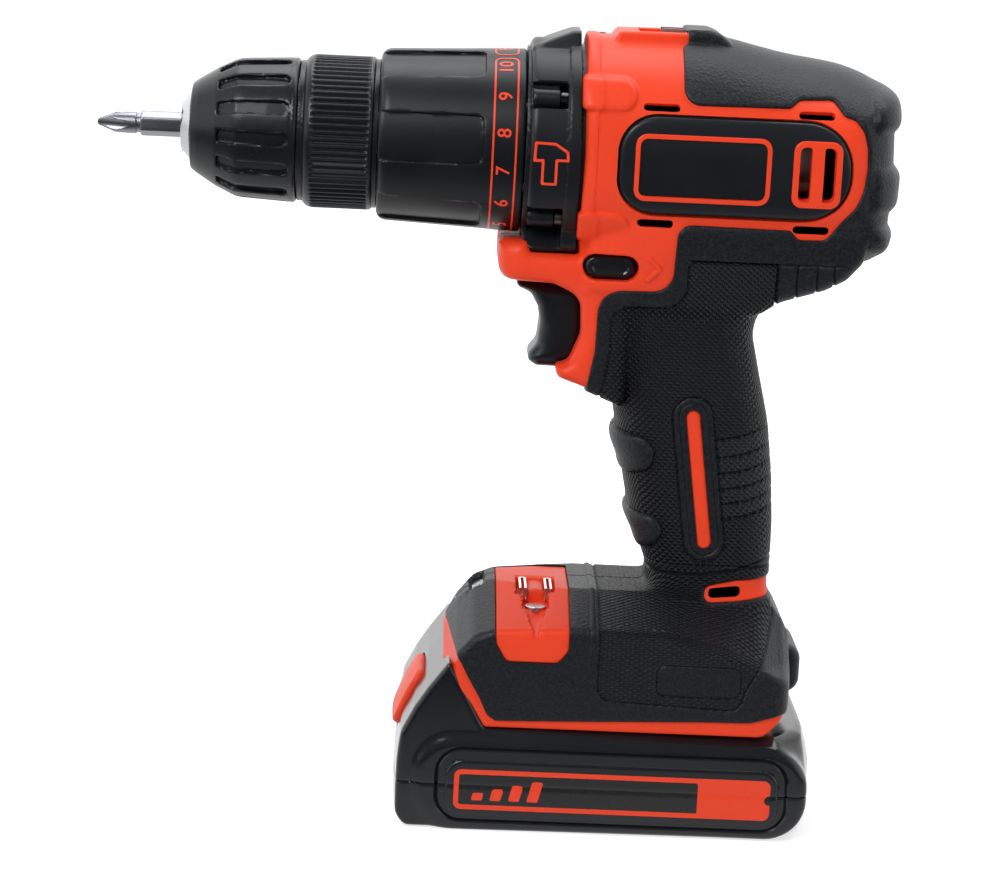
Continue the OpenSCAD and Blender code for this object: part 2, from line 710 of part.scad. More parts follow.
module gearcase() {
    color(hard_black) difference() {
        union() {
            turned([[gearcase_x, snout_r + 1], [gearcase_x, gearcase_r - 2], [gearcase_x + 2, gearcase_r],
                    [shell_front_x - 0.05, gearcase_r], [shell_front_x - 0.05, gearcase_can_r - run_gap],
                    [ring_end_x + 2, gearcase_can_r - run_gap], [ring_end_x + 2, ring_outer_r],
                    [ring_front_x, ring_outer_r], [ring_front_x, carrier_r + 0.8],
                    [carrier_x - 1, carrier_r + 0.8], [carrier_x - 1, spindle_r + 1.6],
                    [snout_x + bearing_w, spindle_r + 1.6], [snout_x + bearing_w, bearing_r],
                    [snout_x, bearing_r], [snout_x, snout_r], [gearcase_x - 0.01, snout_r]]);
            translate([gearcase_x + 3, -9, axis_z + gearcase_r - 4]) cube([gearcase_len - 3.05, 18, 6.4]);
        }
        ring(carrier_x - 1 - bush_w, bush_w + 1, spindle_r + 2.5);
        for (a = pocket_angles) on_axis(gearcase_x) rotate([0, 0, a]) {
            translate([gear_screw_orbit, 0, -1]) cylinder(r = 3.4, h = 9);
            translate([gear_screw_orbit, -3.4, -1]) cube([10, 6.8, 9]);
            translate([gear_screw_orbit, 0, 0]) cylinder(r = gear_screw_r, h = 14);
        }
        for (i = [0:pin_count - 1]) on_axis(gearcase_x - 1) rotate([0, 0, i * 360 / pin_count])
            translate([pin_orbit, 0, 0])
                cylinder(r = clutch_pin_r + run_gap, h = ring_front_x - gearcase_x + 1);
    }
}

module gearcase_screws() {
    color(steel) for (a = pocket_angles) on_axis(gearcase_x) rotate([0, 0, a])
        translate([gear_screw_orbit, 0, 5.8]) difference() {
            union() {
                cylinder(r = 2.7, h = 2.2);
                translate([0, 0, 2]) cylinder(r = gear_screw_r, h = 5.8);
            }
            translate([0, 0, -1]) cylinder(r = 1.3, h = 2.2, $fn = 6);
        }
}

collar_recesses = 15;
module torque_collar() {
    color(hard_black) difference() {
        turned([[collar_x, snout_r + 2], [collar_x, collar_front_r - 1.2], [collar_x + 1.2, collar_front_r],
                [collar_rear_x, collar_r], [collar_rear_x, collar_r - collar_wall],
                [collar_x + 3, collar_front_r - collar_wall], [collar_x + 3, snout_r + 2]]);
        for (i = [0:collar_recesses - 1]) on_axis(collar_x - 1)
            rotate([0, 0, (i + 0.5) * 360 / collar_recesses])
                translate([collar_front_r - 0.7, -2.6, 0]) cube([5, 5.2, 0.72 * collar_len]);
    }
}

nut_w = 6;
module clutch_nut() {
    color(hard_black) ring(collar_x + 6, nut_w, collar_front_r - collar_wall, snout_r + slide_gap);
}

// A round wire wound along the spindle axis or another axis, as one swept tube
module coil(r, wire, length, turns, sides = 6, per_turn = 18) {
    n = turns * per_turn;
    pts = [for (i = [0:n], k = [0:sides - 1])
        let (a = 360 * i / per_turn, b = 360 * k / sides, q = r + wire * cos(b))
        [q * cos(a), q * sin(a), wire + (length - 2 * wire) * i / n + wire * sin(b)]];
    faces = concat(
        [[for (k = [0:sides - 1]) k]],
        [for (i = [0:n - 1], k = [0:sides - 1])
            [i * sides + k, (i + 1) * sides + k, (i + 1) * sides + (k + 1) % sides, i * sides + (k + 1) % sides]],
        [[for (k = [sides - 1:-1:0]) n * sides + k]]);
    polyhedron(points = pts, faces = faces, convexity = 10);
}

washer_w = 1.4;
washer_x = gearcase_x - 1.1 - washer_w;
spring_x = collar_x + 6 + nut_w + 0.3;
module clutch_spring() {
    color(steel) on_axis(spring_x) coil(snout_r + 2.6, 1, washer_x - spring_x - 0.3, 5);
}

module clutch_washer() {
    color(steel) ring(washer_x, washer_w, pin_orbit + 1.2, snout_r + slide_gap);
}

module clutch_pins() {
    color(steel) for (i = [0:pin_count - 1]) on_axis(washer_x + washer_w) rotate([0, 0, i * 360 / pin_count])
        translate([pin_orbit, 0, 0]) cylinder(r = clutch_pin_r, h = ring_front_x - washer_x - washer_w);
}

// ---------------------------------------------------------------- gears

// Points of one tooth, centred on angle 0, from the root up, over and down again.
// The flank follows the involute of the 20 degree base circle.
pressure = 20;
function involute_angle(t) = tan(t) * 180 / PI - t;
function flank(r_pitch, r, gap) =
    let (base = r_pitch * cos(pressure),
         t = r > base ? acos(base / r) : 0)
    90 * gear_mod / (2 * r_pitch) - gap / r_pitch * 180 / PI
        + involute_angle(pressure) - involute_angle(t);
flank_steps = 3;
function gear_points(teeth, gap) =
    let (rp = gear_mod * teeth / 2,
         root = rp - 1.25 * gear_mod,
         tip = rp + gear_mod,
         low = max(root, rp * cos(pressure)),
         hs = [for (i = [0:flank_steps]) low + (tip - low) * i / flank_steps])
    [for (k = [0:teeth - 1])
        let (c = 360 * k / teeth)
        each concat(
            [polar(root, c - flank(rp, low, gap))],
            [for (h = hs) polar(h, c - flank(rp, h, gap))],
            [for (i = [len(hs) - 1:-1:0]) polar(hs[i], c + flank(rp, hs[i], gap))],
            [polar(root, c + flank(rp, low, gap))])];
function polar(r, a) = [r * cos(a), r * sin(a)];

// The space between the teeth of an internal gear has the form of an external tooth
function ring_points(teeth) =
    let (rp = gear_mod * teeth / 2,
         tip = rp - 0.85 * gear_mod,
         root = rp + 1.25 * gear_mod,
         hs = [for (i = [0:flank_steps]) tip + (root - tip) * i / flank_steps])
    [for (k = [0:teeth - 1])
        let (c = 360 * (k + 0.5) / teeth)
        each concat(
            [for (h = hs) polar(h, c - flank(rp, h, -flank_gap))],
            [for (i = [len(hs) - 1:-1:0]) polar(hs[i], c + flank(rp, hs[i], -flank_gap))])];

module gear(teeth, w, bore, turn = 0) {
    rotate([0, 0, turn]) difference() {
        linear_extrude(height = w) polygon(gear_points(teeth, flank_gap));
        if (bore > 0) translate([0, 0, -1]) cylinder(r = bore, h = w + 2);
    }
}

module ring_gear() {
    color(dark_steel) on_axis(ring_front_x) difference() {
        cylinder(r = ring_outer_r - run_gap, h = ring_end_x - ring_front_x);
        translate([0, 0, -1]) linear_extrude(height = ring_end_x - ring_front_x + 2)
            polygon(ring_points(ring_teeth));
    }
}

// Planet i of a stage stands at 120 i degrees about the axis
module planet(x, i) {
    color(steel) on_axis(x) rotate([0, 0, 120 * i]) translate([planet_orbit, 0, 0])
        gear(planet_teeth, gear_w, pin_r + run_gap, 180 / planet_teeth);
}
module planet_1a() { planet(stage_1_x, 0); }
module planet_1b() { planet(stage_1_x, 1); }
module planet_1c() { planet(stage_1_x, 2); }
module planet_2a() { planet(stage_2_x, 0); }
module planet_2b() { planet(stage_2_x, 1); }
module planet_2c() { planet(stage_2_x, 2); }

// A disc in front of a stage with the pins of its three planets
module carrier(x, r, bore = 0) {
    on_axis(x) difference() {
        union() {
            cylinder(r = r, h = carrier_t);
            for (i = [0:2]) rotate([0, 0, 120 * i]) translate([planet_orbit, 0, carrier_t - 0.1])
                cylinder(r = pin_r, h = stage_gap + gear_w + 0.2);
        }
        if (bore > 0) translate([0, 0, -1]) cylinder(r = bore, h = carrier_t + 2);
    }
}

carrier_r = planet_orbit + pin_r + 1.2;
module output_carrier() {
    color(steel) carrier(carrier_x, carrier_r, spindle_r - 1.5);
}

module first_carrier() {
    color(steel) {
        carrier(stage_1_x - stage_gap - carrier_t, carrier_r);
        on_axis(stage_2_x) gear(sun_teeth, gear_w + stage_gap + 0.1, 0);
    }
}

spindle_front_x = ring_x + 6;
module spindle() {
    color(steel) difference() {
        turned([[spindle_front_x, 0], [spindle_front_x, spindle_r - 0.4], [spindle_front_x + 0.4, spindle_r],
                [carrier_x, spindle_r], [carrier_x, spindle_r - 1.5],
                [carrier_x + carrier_t, spindle_r - 1.5], [carrier_x + carrier_t, 0]]);
        ring(spindle_front_x - 1, 17, 2.5);
    }
}

module spindle_bearing() {
    color(steel) turned([
        [snout_x, spindle_r + run_gap], [snout_x, spindle_r + 2.2], [snout_x + 0.6, spindle_r + 2.2],
        [snout_x + 0.6, bearing_r - 2.2], [snout_x, bearing_r - 2.2], [snout_x, bearing_r],
        [snout_x + bearing_w, bearing_r], [snout_x + bearing_w, spindle_r + run_gap]]);
}

module spindle_bush() {
    color(brass) ring(carrier_x - 1 - bush_w, bush_w, spindle_r + 2.5, spindle_r + run_gap);
}

// ---------------------------------------------------------------- motor

motor_wall = 1.2;
magnet_t = 3.6;
armature_r = motor_r - motor_wall - magnet_t - 0.6;
core_x = motor_x + 11;
core_len = 19;
fan_x = motor_x + 4;
commutator_x = core_x + core_len + 3;
end_cap_w = 7;
pinion_gap = 0.6;

module motor_can() {
    color(dark_steel) {
        difference() {
            ring(motor_x, motor_len, motor_r - run_gap, motor_r - motor_wall);
            for (a = [45:90:315]) on_axis(motor_x + 8) rotate([0, 0, a])
                translate([motor_r - 6, -3.5, -4]) cube([8, 7, 7]);
        }
        ring(motor_x, motor_wall, motor_r - 1, shaft_r + run_gap);
        ring(motor_x - 2.4, 2.5, 6, shaft_r + run_gap);
        for (s = [0, 180]) on_axis(core_x - 1) rotate([0, 0, s]) rotate([0, 0, -62])
            rotate_extrude(angle = 124) translate([motor_r - motor_wall - magnet_t, 0])
                square([magnet_t + 0.05, core_len + 2]);
    }
}

module armature_core() {
    color(copper) difference() {
        ring(core_x, core_len, armature_r, shaft_r);
        for (i = [0:4]) on_axis(core_x - 1) rotate([0, 0, i * 72])
            translate([armature_r - 3.5, -0.9, 0]) cube([5, 1.8, core_len + 2]);
    }
}

module commutator() {
    color(copper) ring(commutator_x, 6, 4.2, shaft_r);
}

module motor_fan() {
    color(hard_black) {
        ring(fan_x, 1.2, armature_r, shaft_r);
        for (i = [0:8]) on_axis(fan_x + 1.1) rotate([0, 0, i * 40])
            translate([5.2, -0.6, 0]) cube([armature_r - 5.8, 1.2, 3.4]);
    }
}

module motor_shaft() {
    color(steel) ring(stage_1_x + pinion_gap, motor_end_x + end_cap_w - 2 - stage_1_x - pinion_gap, shaft_r);
}

module motor_pinion() {
    color(steel) on_axis(stage_1_x + pinion_gap) gear(sun_teeth, gear_w, shaft_r);
}

module motor_end_cap() {
    color(hard_black) difference() {
        union() {
            ring(motor_end_x, end_cap_w - 2, motor_r - 0.4, shaft_r + run_gap);
            ring(motor_end_x + end_cap_w - 2.1, 2, 6, shaft_r + run_gap);
        }
        for (s = [-1, 1]) translate([motor_end_x - 0.5, s * 12 - 2.6, axis_z - 3.6]) cube([4, 5.2, 7.2]);
    }
}

module motor_brushes() {
    color(dark_steel) for (s = [-1, 1]) {
        translate([commutator_x + 0.5, min(s * 4.6, s * 12), axis_z - 2.5]) cube([5, 7.4, 5]);
        translate([commutator_x + 5.4, s * 12 - 2, axis_z - 2.5])
            cube([motor_end_x + 3.4 - commutator_x - 5.4, 4, 5]);
    }
}

// ---------------------------------------------------------------- chuck

hex_r = hex_af / 2 / cos(30);
chuck_bore_r = 6.6;
screw_seat = 6;
screw_head_w = 2.6;
jaw_face = hex_af / 2 + 0.03;
// Where a jaw's own axis meets the front face, measured from the spindle axis
jaw_front_off = jaw_face + 0.1;
nut_groove = 1.4;
chuck_rear_x = collar_x - 2;

// Places a child at jaw i's front end, with +Z running back along the jaw
module on_jaw(i) {
    on_axis(nose_x + 1) rotate([0, 0, 120 * i]) translate([jaw_front_off, 0, 0])
        rotate([0, jaw_angle, 0]) children();
}

module chuck_body() {
    color(steel) difference() {
        turned([[nose_x, 0], [nose_x, 6.6], [sleeve_x - 0.3, 9.5], [sleeve_x + 2, 10.5],
                [sleeve_x + 10, 14.6], [sleeve_x + 17, chuck_r], [nut_x - 0.4, chuck_r],
                [nut_x - 0.4, chuck_r - nut_groove], [nut_x + chuck_nut_w + 0.4, chuck_r - nut_groove],
                [nut_x + chuck_nut_w + 0.4, chuck_r], [chuck_rear_x, chuck_r], [chuck_rear_x, 0]]);
        ring(nose_x - 1, spindle_front_x - screw_seat - nose_x + 1, chuck_bore_r);
        ring(spindle_front_x - 0.02, chuck_rear_x - spindle_front_x + 1, spindle_r);
        ring(nose_x, spindle_front_x - nose_x + 1, 3.2);
        for (i = [0:2]) on_jaw(i) translate([0, 0, -12])
            cylinder(r = jaw_r + run_gap, h = jaw_len + jaw_travel + 16);
    }
}

// The nut sits in a groove of the body and turns with the sleeve
nut_x = sleeve_rear_x - 9;
chuck_nut_w = 5;
module chuck_nut() {
    color(steel) ring(nut_x, chuck_nut_w, chuck_r + 1.2, chuck_r - nut_groove + run_gap);
}

// A jaw: a round bar cut back to a flat that faces the bit and chamfered between its neighbours
module chuck_jaw(i) {
    color(dark_steel) intersection() {
        on_jaw(i) cylinder(r = jaw_r, h = jaw_len);
        on_axis(nose_x + 0.2) rotate([0, 0, 120 * i]) linear_extrude(height = jaw_len + 10)
            polygon([[jaw_face, -1.6], [jaw_face + 6, -11.6], [30, -11.6],
                     [30, 11.6], [jaw_face + 6, 11.6], [jaw_face, 1.6]]);
    }
}
module chuck_jaw_a() { chuck_jaw(0); }
module chuck_jaw_b() { chuck_jaw(1); }
module chuck_jaw_c() { chuck_jaw(2); }

module chuck_sleeve() {
    color(hard_black) difference() {
        turned([[sleeve_x, 9.6 + turn_gap], [sleeve_x, 10.4], [sleeve_x + 0.8, 12.6], [sleeve_x + 2.2, 14.4],
                [sleeve_x + 11.5, sleeve_r - 1.6], [sleeve_x + 16, sleeve_r - 0.9], [sleeve_rear_x, sleeve_r],
                [sleeve_rear_x, chuck_r + turn_gap], [nut_x + chuck_nut_w, chuck_r + turn_gap],
                [nut_x + chuck_nut_w, chuck_r + 1.2], [nut_x, chuck_r + 1.2], [nut_x, chuck_r + turn_gap],
                [sleeve_x + 17, chuck_r + turn_gap], [sleeve_x + 10, 14.6 + turn_gap],
                [sleeve_x + 2, 10.6 + turn_gap]]);
        for (i = [0:sleeve_slots - 1]) on_axis(sleeve_x) rotate([0, 0, (i + 0.5) * 360 / sleeve_slots])
            translate([sleeve_r - 1.5, -1.7, 9]) cube([4, 3.4, sleeve_len - 12]);
    }
}

rib_depth = 0.5;
module chuck_ring() {
    color(hard_black) {
        difference() {
            on_axis(ring_x + 3) linear_extrude(height = ring_len - 3)
                polygon([for (k = [0:ring_ribs - 1], j = [0:3])
                    let (a = 360 * (k + [-0.28, 0.28, 0.38, 0.62][j]) / ring_ribs)
                    polar(j < 2 ? ring_r : ring_r - rib_depth, a)]);
            ring(ring_x, ring_len + 2, chuck_r);
        }
        ring(ring_x, 3, ring_r - 0.1, chuck_r);
    }
}

module chuck_screw() {
    seat_x = spindle_front_x - screw_seat;
    color(dark_steel) difference() {
        turned([[seat_x - screw_head_w, 0], [seat_x - screw_head_w, 4.4], [seat_x, 4.4],
                [seat_x, 2.5], [spindle_front_x + 14, 2.5], [spindle_front_x + 14, 0]]);
        ring(seat_x - screw_head_w - 1, 2.6, 1.8);
    }
}

// Screwdriver bit with four flutes at its tip
shank_front_x = nose_x - 0.2;
module screwdriver_bit() {
    color(steel) {
        intersection() {
            on_axis(shank_front_x) rotate([0, 0, 30])
                cylinder(r = hex_r, h = bit_tip_x + bit_len - shank_front_x, $fn = 6);
            turned([[shank_front_x, 0], [shank_front_x, hex_r - 0.7], [shank_front_x + 1, hex_r + 0.1],
                    [bit_tip_x + bit_len - 0.8, hex_r + 0.1], [bit_tip_x + bit_len, hex_r - 0.7],
                    [bit_tip_x + bit_len, 0]]);
        }
        difference() {
            turned([[bit_tip_x, 0], [bit_tip_x, 0.7], [bit_tip_x + 3.6, 2.7], [bit_tip_x + 7, 3],
                    [shank_front_x - 1, 3], [shank_front_x + 0.1, hex_r - 0.7], [shank_front_x + 0.1, 0]]);
            for (a = [45:90:315]) on_axis(bit_tip_x) rotate([0, 0, a]) translate([0.7, 0, -1])
                rotate([0, 12, 0]) rotate([0, 0, 45]) translate([0, -4, 0]) cube([4, 4, 7]);
        }
    }
}

// ---------------------------------------------------------------- controls

trigger_outline = [
    [shell_front_x - 12.6, trigger_low_z + 1, 1], [shell_front_x - 5.6, trigger_low_z, 1],
    [switch_x0 - trigger_travel - 1, trigger_low_z, 1],
    [switch_x0 - trigger_travel - 1, trigger_top_z - 2.6, 1],
    [shell_front_x - 3, trigger_top_z - 0.6, 2], [shell_front_x - 18.8, trigger_top_z + 0.7, 0.8],
    [shell_front_x - 13, trigger_top_z - 1.8, 3], [shell_front_x - 10.2, trigger_top_z - 7, 6],
    [shell_front_x - 9.3, trigger_top_z - 11.5, 10], [shell_front_x - 10.5, trigger_low_z + 5.5, 5],
    [shell_front_x - 12.8, trigger_low_z + 3, 1]
];
module trigger() {
    color(hard_black) difference() {
        side_prism(trigger_outline, trigger_w);
        translate([shell_front_x - 3, 0, switch_z0 + 14]) rotate([0, 90, 0]) cylinder(r = 3.6, h = 30);
    }
}

module trigger_spring() {
    color(steel) translate([shell_front_x - 2.8, 0, switch_z0 + 14]) rotate([0, 90, 0])
        coil(2.6, 0.4, switch_x0 - shell_front_x + 2.6, 6, 6, 12);
}

module switch_module() {
    color(hard_black) {
        translate([switch_x0, -switch_w / 2, switch_z0]) cube([switch_len, switch_w, switch_h - 5]);
        translate([switch_x0 + 14, -switch_w / 2 + 3, switch_z0 + switch_h - 5.1])
            cube([10, switch_w - 6, 4]);
    }
}

selector_half_len = nose_half_w + 2.8 + selector_travel;
module direction_selector() {
    color(hard_black) {
        intersection() {
            selector_hole(0);
            translate([-60, -selector_half_len, 0]) cube([120, 2 * selector_half_len, 300]);
        }
        translate([selector_x + selector_w / 2 + 1.2, -3, selector_z - selector_h]) cube([3, 6, 4]);
    }
}

module work_light() {
    color([0.85, 0.88, 0.9]) intersection() {
        light_pocket(-0.1);
        foot(1);
        translate([light_x, 0, light_z]) rotate([0, -48, 0]) translate([-10, -10, -6]) cube([20, 20, 20]);
    }
}

clip_x = foot_front_x + 13.5;
clip_z = foot_top_z - 13.5;
magnet_deep = 12;
module foot_insert() {
    color(orange) difference() {
        intersection() {
            foot_insert_block(-0.05);
            foot();
        }
        translate([clip_x - 4.4, -60, clip_z]) cube([8.8, 60 + insert_y - 3, 30]);
        translate([clip_x, insert_y - magnet_deep, foot_base_z + 22.5]) rotate([90, 0, 0])
            cylinder(r = 2.6, h = 30);
    }
}

clip_t = 0.8;
module bit_clip() {
    color(steel) {
        for (s = [-1, 1]) translate([clip_x + s * 3.6 - clip_t / 2, insert_y - 9, clip_z + 0.05])
            cube([clip_t, 6, 4.5]);
        translate([clip_x - 4, insert_y - 3.05 - clip_t, clip_z + 0.05]) cube([8, clip_t, 6.5]);
        translate([clip_x, insert_y - magnet_deep - 0.05, foot_base_z + 22.5]) rotate([90, 0, 0])
            cylinder(r = 2.5, h = 2.6);
    }
}

module top_clip() {
    color(steel) {
        for (s = [-1, 1]) translate([top_clip_x + 3, s * 3.6 - clip_t / 2, axis_z + 29.4])
            cube([6.4, clip_t, 3.8]);
        translate([top_clip_x + 3, -4, axis_z + 29.4]) cube([6.4, 8, clip_t]);
    }
}

block_z = head_z + 1.6;
module terminal_block() {
    color(hard_black) difference() {
        translate([foot_front_x + 22, -16, block_z]) cube([30, 32, 9]);
        for (y = [-10, 0, 10]) translate([foot_front_x + 28, y - 1, block_z - 1]) cube([18, 2, 5]);
    }
}

// Two leads from the terminals to the switch and two from the switch to the motor
lead_r = 1.1;
module lead(points) {
    for (i = [0:len(points) - 2])
        let (a = points[i], b = points[i + 1], v = b - a, l = norm(v))
        translate(a) rotate([0, acos(v[2] / l), atan2(v[1], v[0])]) cylinder(r = lead_r, h = l);
    for (i = [1:len(points) - 2]) translate(points[i]) sphere(r = 1.05 * lead_r);
}
module wiring() {
    lead_x = switch_x0 + switch_len + 5.2;
    lead_z = axis_z - motor_r - 0.6;
    back_x = motor_end_x + end_cap_w - 2;
    color([0.75, 0.08, 0.06]) for (s = [-1, 1]) {
        lead([[foot_front_x + 45, 6 * s, block_z + 9], [foot_front_x + 45, 6 * s, block_z + 12],
              [grip_mid_x + 5, 4 * s, foot_top_z + 8], [grip_mid_x - 4, 4 * s, switch_z0 - 12],
              [grip_mid_x - 6, 4 * s, switch_z0 - 3], [grip_mid_x - 6, 4 * s, switch_z0]]);
        lead([[switch_x0 + switch_len, 5 * s, switch_z0 + 12], [lead_x, 5 * s, switch_z0 + 12],
              [lead_x, 6 * s, lead_z - 3], [lead_x + 9, 6 * s, lead_z], [back_x + 3, 6 * s, lead_z],
              [back_x + 3, 6 * s, lead_z + 8], [back_x, 6 * s, lead_z + 8]]);
    }
}

// ---------------------------------------------------------------- battery pack

pack_corner_r = 10;
seam_z = pack_h / 2;
pack_outline = [
    [-pack_len / 2, 0, pack_corner_r], [pack_len / 2, 0, pack_corner_r],
    [pack_len / 2, pack_h, pack_corner_r], [-pack_len / 2, pack_h, pack_corner_r]
];
lobe = 9.5;
body_outline = [
    [-pack_len / 2, 0.4, 3], [pack_len / 2 + 4.6, 0.4, 3], [pack_len / 2 + 6.8, 7.5, 3],
    [pack_len / 2 + 6.4, 18.6, 2], [pack_len / 2 + 4.6, 22, 1], [pack_len / 2 + 4.6, pack_top_z, 1],
    [foot_front_x - 0.4, pack_top_z, 3], [foot_front_x - 9.7, foot_base_z + 18.6, 5],
    [foot_front_x - 12.6, foot_top_z - 11.4, 1], [foot_front_x - 14.4, foot_top_z - 14, 2],
    [foot_front_x - 17.5, foot_base_z + 15.2, 10], [-pack_len / 2 - 6, foot_base_z + 3, 12],
    [-pack_len / 2 - 8.5, 21, 8], [-pack_len / 2 - lobe, 11.7, 6], [-pack_len / 2 - lobe + 0.4, 4, 4],
    [-pack_len / 2 - lobe + 4, 0.4, 3]
];
body_half_w = foot_half_w - 0.2;
body_plan = [
    [-pack_len / 2 - lobe - 0.2, -17, 6], [-pack_len / 2 - lobe + 3.4, -25, 8],
    [-pack_len / 2 + 3, -body_half_w, 8],
    [pack_len / 2 - 6, -body_half_w, 6], [pack_len / 2 + 3, -26, 6], [pack_len / 2 + 7, -14, 4],
    [pack_len / 2 + 7, 14, 4], [pack_len / 2 + 3, 26, 6], [pack_len / 2 - 6, body_half_w, 6],
    [-pack_len / 2 + 3, body_half_w, 8], [-pack_len / 2 - lobe + 3.4, 25, 8],
    [-pack_len / 2 - lobe - 0.2, 17, 6]
];

module pack() {
    side_prism(pack_outline, pack_w);
    intersection() {
        side_prism(body_outline, 90);
        plan_prism(body_plan, 0, 80);
    }
}

// Frame of the release button: +Z points out of the sloping front of the pack
button_slope = 19.8;
button_z = foot_base_z + 9;
module on_button() {
    translate([-pack_len / 2 - 3.9, 0, button_z]) rotate([0, -90 + button_slope, 0]) children();
}
module button_shape(gap, low, high) {
    translate([0, 0, low]) linear_extrude(height = high - low)
        polygon(rounded([[-7.5 - gap, -12 - gap, 3], [7.5 + gap, -12 - gap, 3],
                         [7.5 + gap, 12 + gap, 3], [-7.5 - gap, 12 + gap, 3]]));
}

module tower(gap = 0) {
    translate([foot_front_x + 3, -rail_half_w + slide_gap, pack_top_z - 2])
        cube([rail_span - 8, 2 * (rail_half_w - slide_gap), rail_z - pack_top_z + 2.2 + slide_gap]);
    translate([foot_front_x + 3, -head_half_w, rail_z + slide_gap])
        cube([rail_span - 8, 2 * head_half_w, head_z - rail_z - 2 * slide_gap]);
}

module pack_hollow() {
    side_prism(inset(pack_outline, pack_wall), pack_w - 2 * pack_wall);
}

module battery_upper() {
    color(hard_black) difference() {
        union() {
            intersection() {
                pack();
                translate([-100, -50, seam_z]) cube([200, 100, 80]);
            }
            tower();
        }
        pack_hollow();
        on_button() button_shape(slide_gap, -release_travel - 3.4, 20);
        for (y = [-10, 0, 10]) translate([foot_front_x + 26, y - 1.2, head_z - 6]) cube([24, 2.4, 10]);
    }
}

module battery_lower() {
    color(hard_black) difference() {
        intersection() {
            pack();
            translate([-100, -50, -1]) cube([200, 100, seam_z + 1]);
        }
        pack_hollow();
    }
}

module battery_cells() {
    color([0.20, 0.45, 0.30]) for (i = [0:cell_count - 1])
        translate([(i - (cell_count - 1) / 2) * cell_pitch, 0, pack_wall + cell_r]) rotate([90, 0, 0])
            cylinder(r = cell_r, h = cell_len, center = true);
}

module battery_contacts() {
    color(brass) for (y = [-10, 0, 10]) translate([foot_front_x + 26, y - 0.5, head_z - 6])
        cube([22, 1, 5.6]);
}

module release_button() {
    color(orange) on_button() {
        button_shape(0, -1.6, 1.8);
        translate([-3, -9, -3]) cube([6, 18, 2]);
    }
}

housing_left();
housing_right();
overmould_left();
overmould_right();
side_panels();
vent_louvres();
grip_strips();
housing_screws();
gearcase();
gearcase_screws();
torque_collar();
clutch_nut();
clutch_spring();
clutch_washer();
clutch_pins();
ring_gear();
output_carrier();
spindle();
spindle_bearing();
spindle_bush();
first_carrier();
planet_1a();
planet_1b();
planet_1c();
planet_2a();
planet_2b();
planet_2c();
motor_pinion();
motor_shaft();
armature_core();
commutator();
motor_fan();
motor_can();
motor_end_cap();
motor_brushes();
chuck_body();
chuck_jaw_a();
chuck_jaw_b();
chuck_jaw_c();
chuck_nut();
chuck_sleeve();
chuck_ring();
chuck_screw();
screwdriver_bit();
trigger();
trigger_spring();
switch_module();
direction_selector();
work_light();
foot_insert();
bit_clip();
top_clip();
terminal_block();
wiring();
battery_lower();
battery_upper();
battery_cells();
battery_contacts();
release_button();
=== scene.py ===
"""Looks for the cordless hammer drill: moulded shells, soft overmould, chuck, dial, pack, light and camera.

Lengths are in millimetres inside the builders and become metres when an object is made.
Like the frame, +X runs from the chuck to the back of the motor, +Z is up and -Y is the user's left.
"""
import json
import math

import bmesh
import bpy
import numpy as np
from mathutils import Matrix, Vector

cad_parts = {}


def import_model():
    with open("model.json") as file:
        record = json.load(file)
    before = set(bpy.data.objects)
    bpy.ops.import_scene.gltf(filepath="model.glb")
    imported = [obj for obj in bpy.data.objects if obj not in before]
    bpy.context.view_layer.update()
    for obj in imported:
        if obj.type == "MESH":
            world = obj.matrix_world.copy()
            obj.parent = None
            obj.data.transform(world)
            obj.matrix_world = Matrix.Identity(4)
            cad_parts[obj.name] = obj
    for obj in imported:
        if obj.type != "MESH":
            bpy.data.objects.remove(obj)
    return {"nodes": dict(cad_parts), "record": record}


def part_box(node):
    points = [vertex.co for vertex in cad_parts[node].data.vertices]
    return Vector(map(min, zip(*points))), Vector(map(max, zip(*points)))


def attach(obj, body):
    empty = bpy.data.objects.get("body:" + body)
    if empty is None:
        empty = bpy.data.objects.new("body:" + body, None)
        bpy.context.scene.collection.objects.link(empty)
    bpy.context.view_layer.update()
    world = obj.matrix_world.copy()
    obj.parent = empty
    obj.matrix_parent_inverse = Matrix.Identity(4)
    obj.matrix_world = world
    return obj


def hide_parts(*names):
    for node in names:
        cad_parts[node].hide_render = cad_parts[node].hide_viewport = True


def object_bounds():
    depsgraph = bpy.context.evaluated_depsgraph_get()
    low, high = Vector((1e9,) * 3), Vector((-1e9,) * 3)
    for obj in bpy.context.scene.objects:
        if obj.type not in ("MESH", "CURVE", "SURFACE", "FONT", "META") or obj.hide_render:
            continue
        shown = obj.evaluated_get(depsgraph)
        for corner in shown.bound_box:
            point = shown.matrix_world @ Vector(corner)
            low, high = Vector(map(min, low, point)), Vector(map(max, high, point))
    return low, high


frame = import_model()
cad_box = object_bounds()
MM = 0.001
TOP_Z = cad_box[1][2] / MM  # nothing stands higher
STEP = 0.62  # size of the cells that a moulded surface is cut into


def box(node):
    """Lowest and highest corners of a CAD node, in millimetres."""
    low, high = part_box(node)
    return np.array(low) / MM, np.array(high) / MM


# ---------------------------------------------------------------- stations from the frame

AXIS = (box("chuck_ring")[0][2] + box("chuck_ring")[1][2]) / 2  # height of the spindle
FRONT = box("torque_collar")[1][0] + 17.4  # front face of the housing shells
BASE = box("housing_left")[0][2]  # lower edge of the foot
GRIP_X, GRIP_Z = 20.0, AXIS - 85.5  # middle of the grip
GRIP_LEAN = math.radians(10.4)

# ---------------------------------------------------------------- outlines


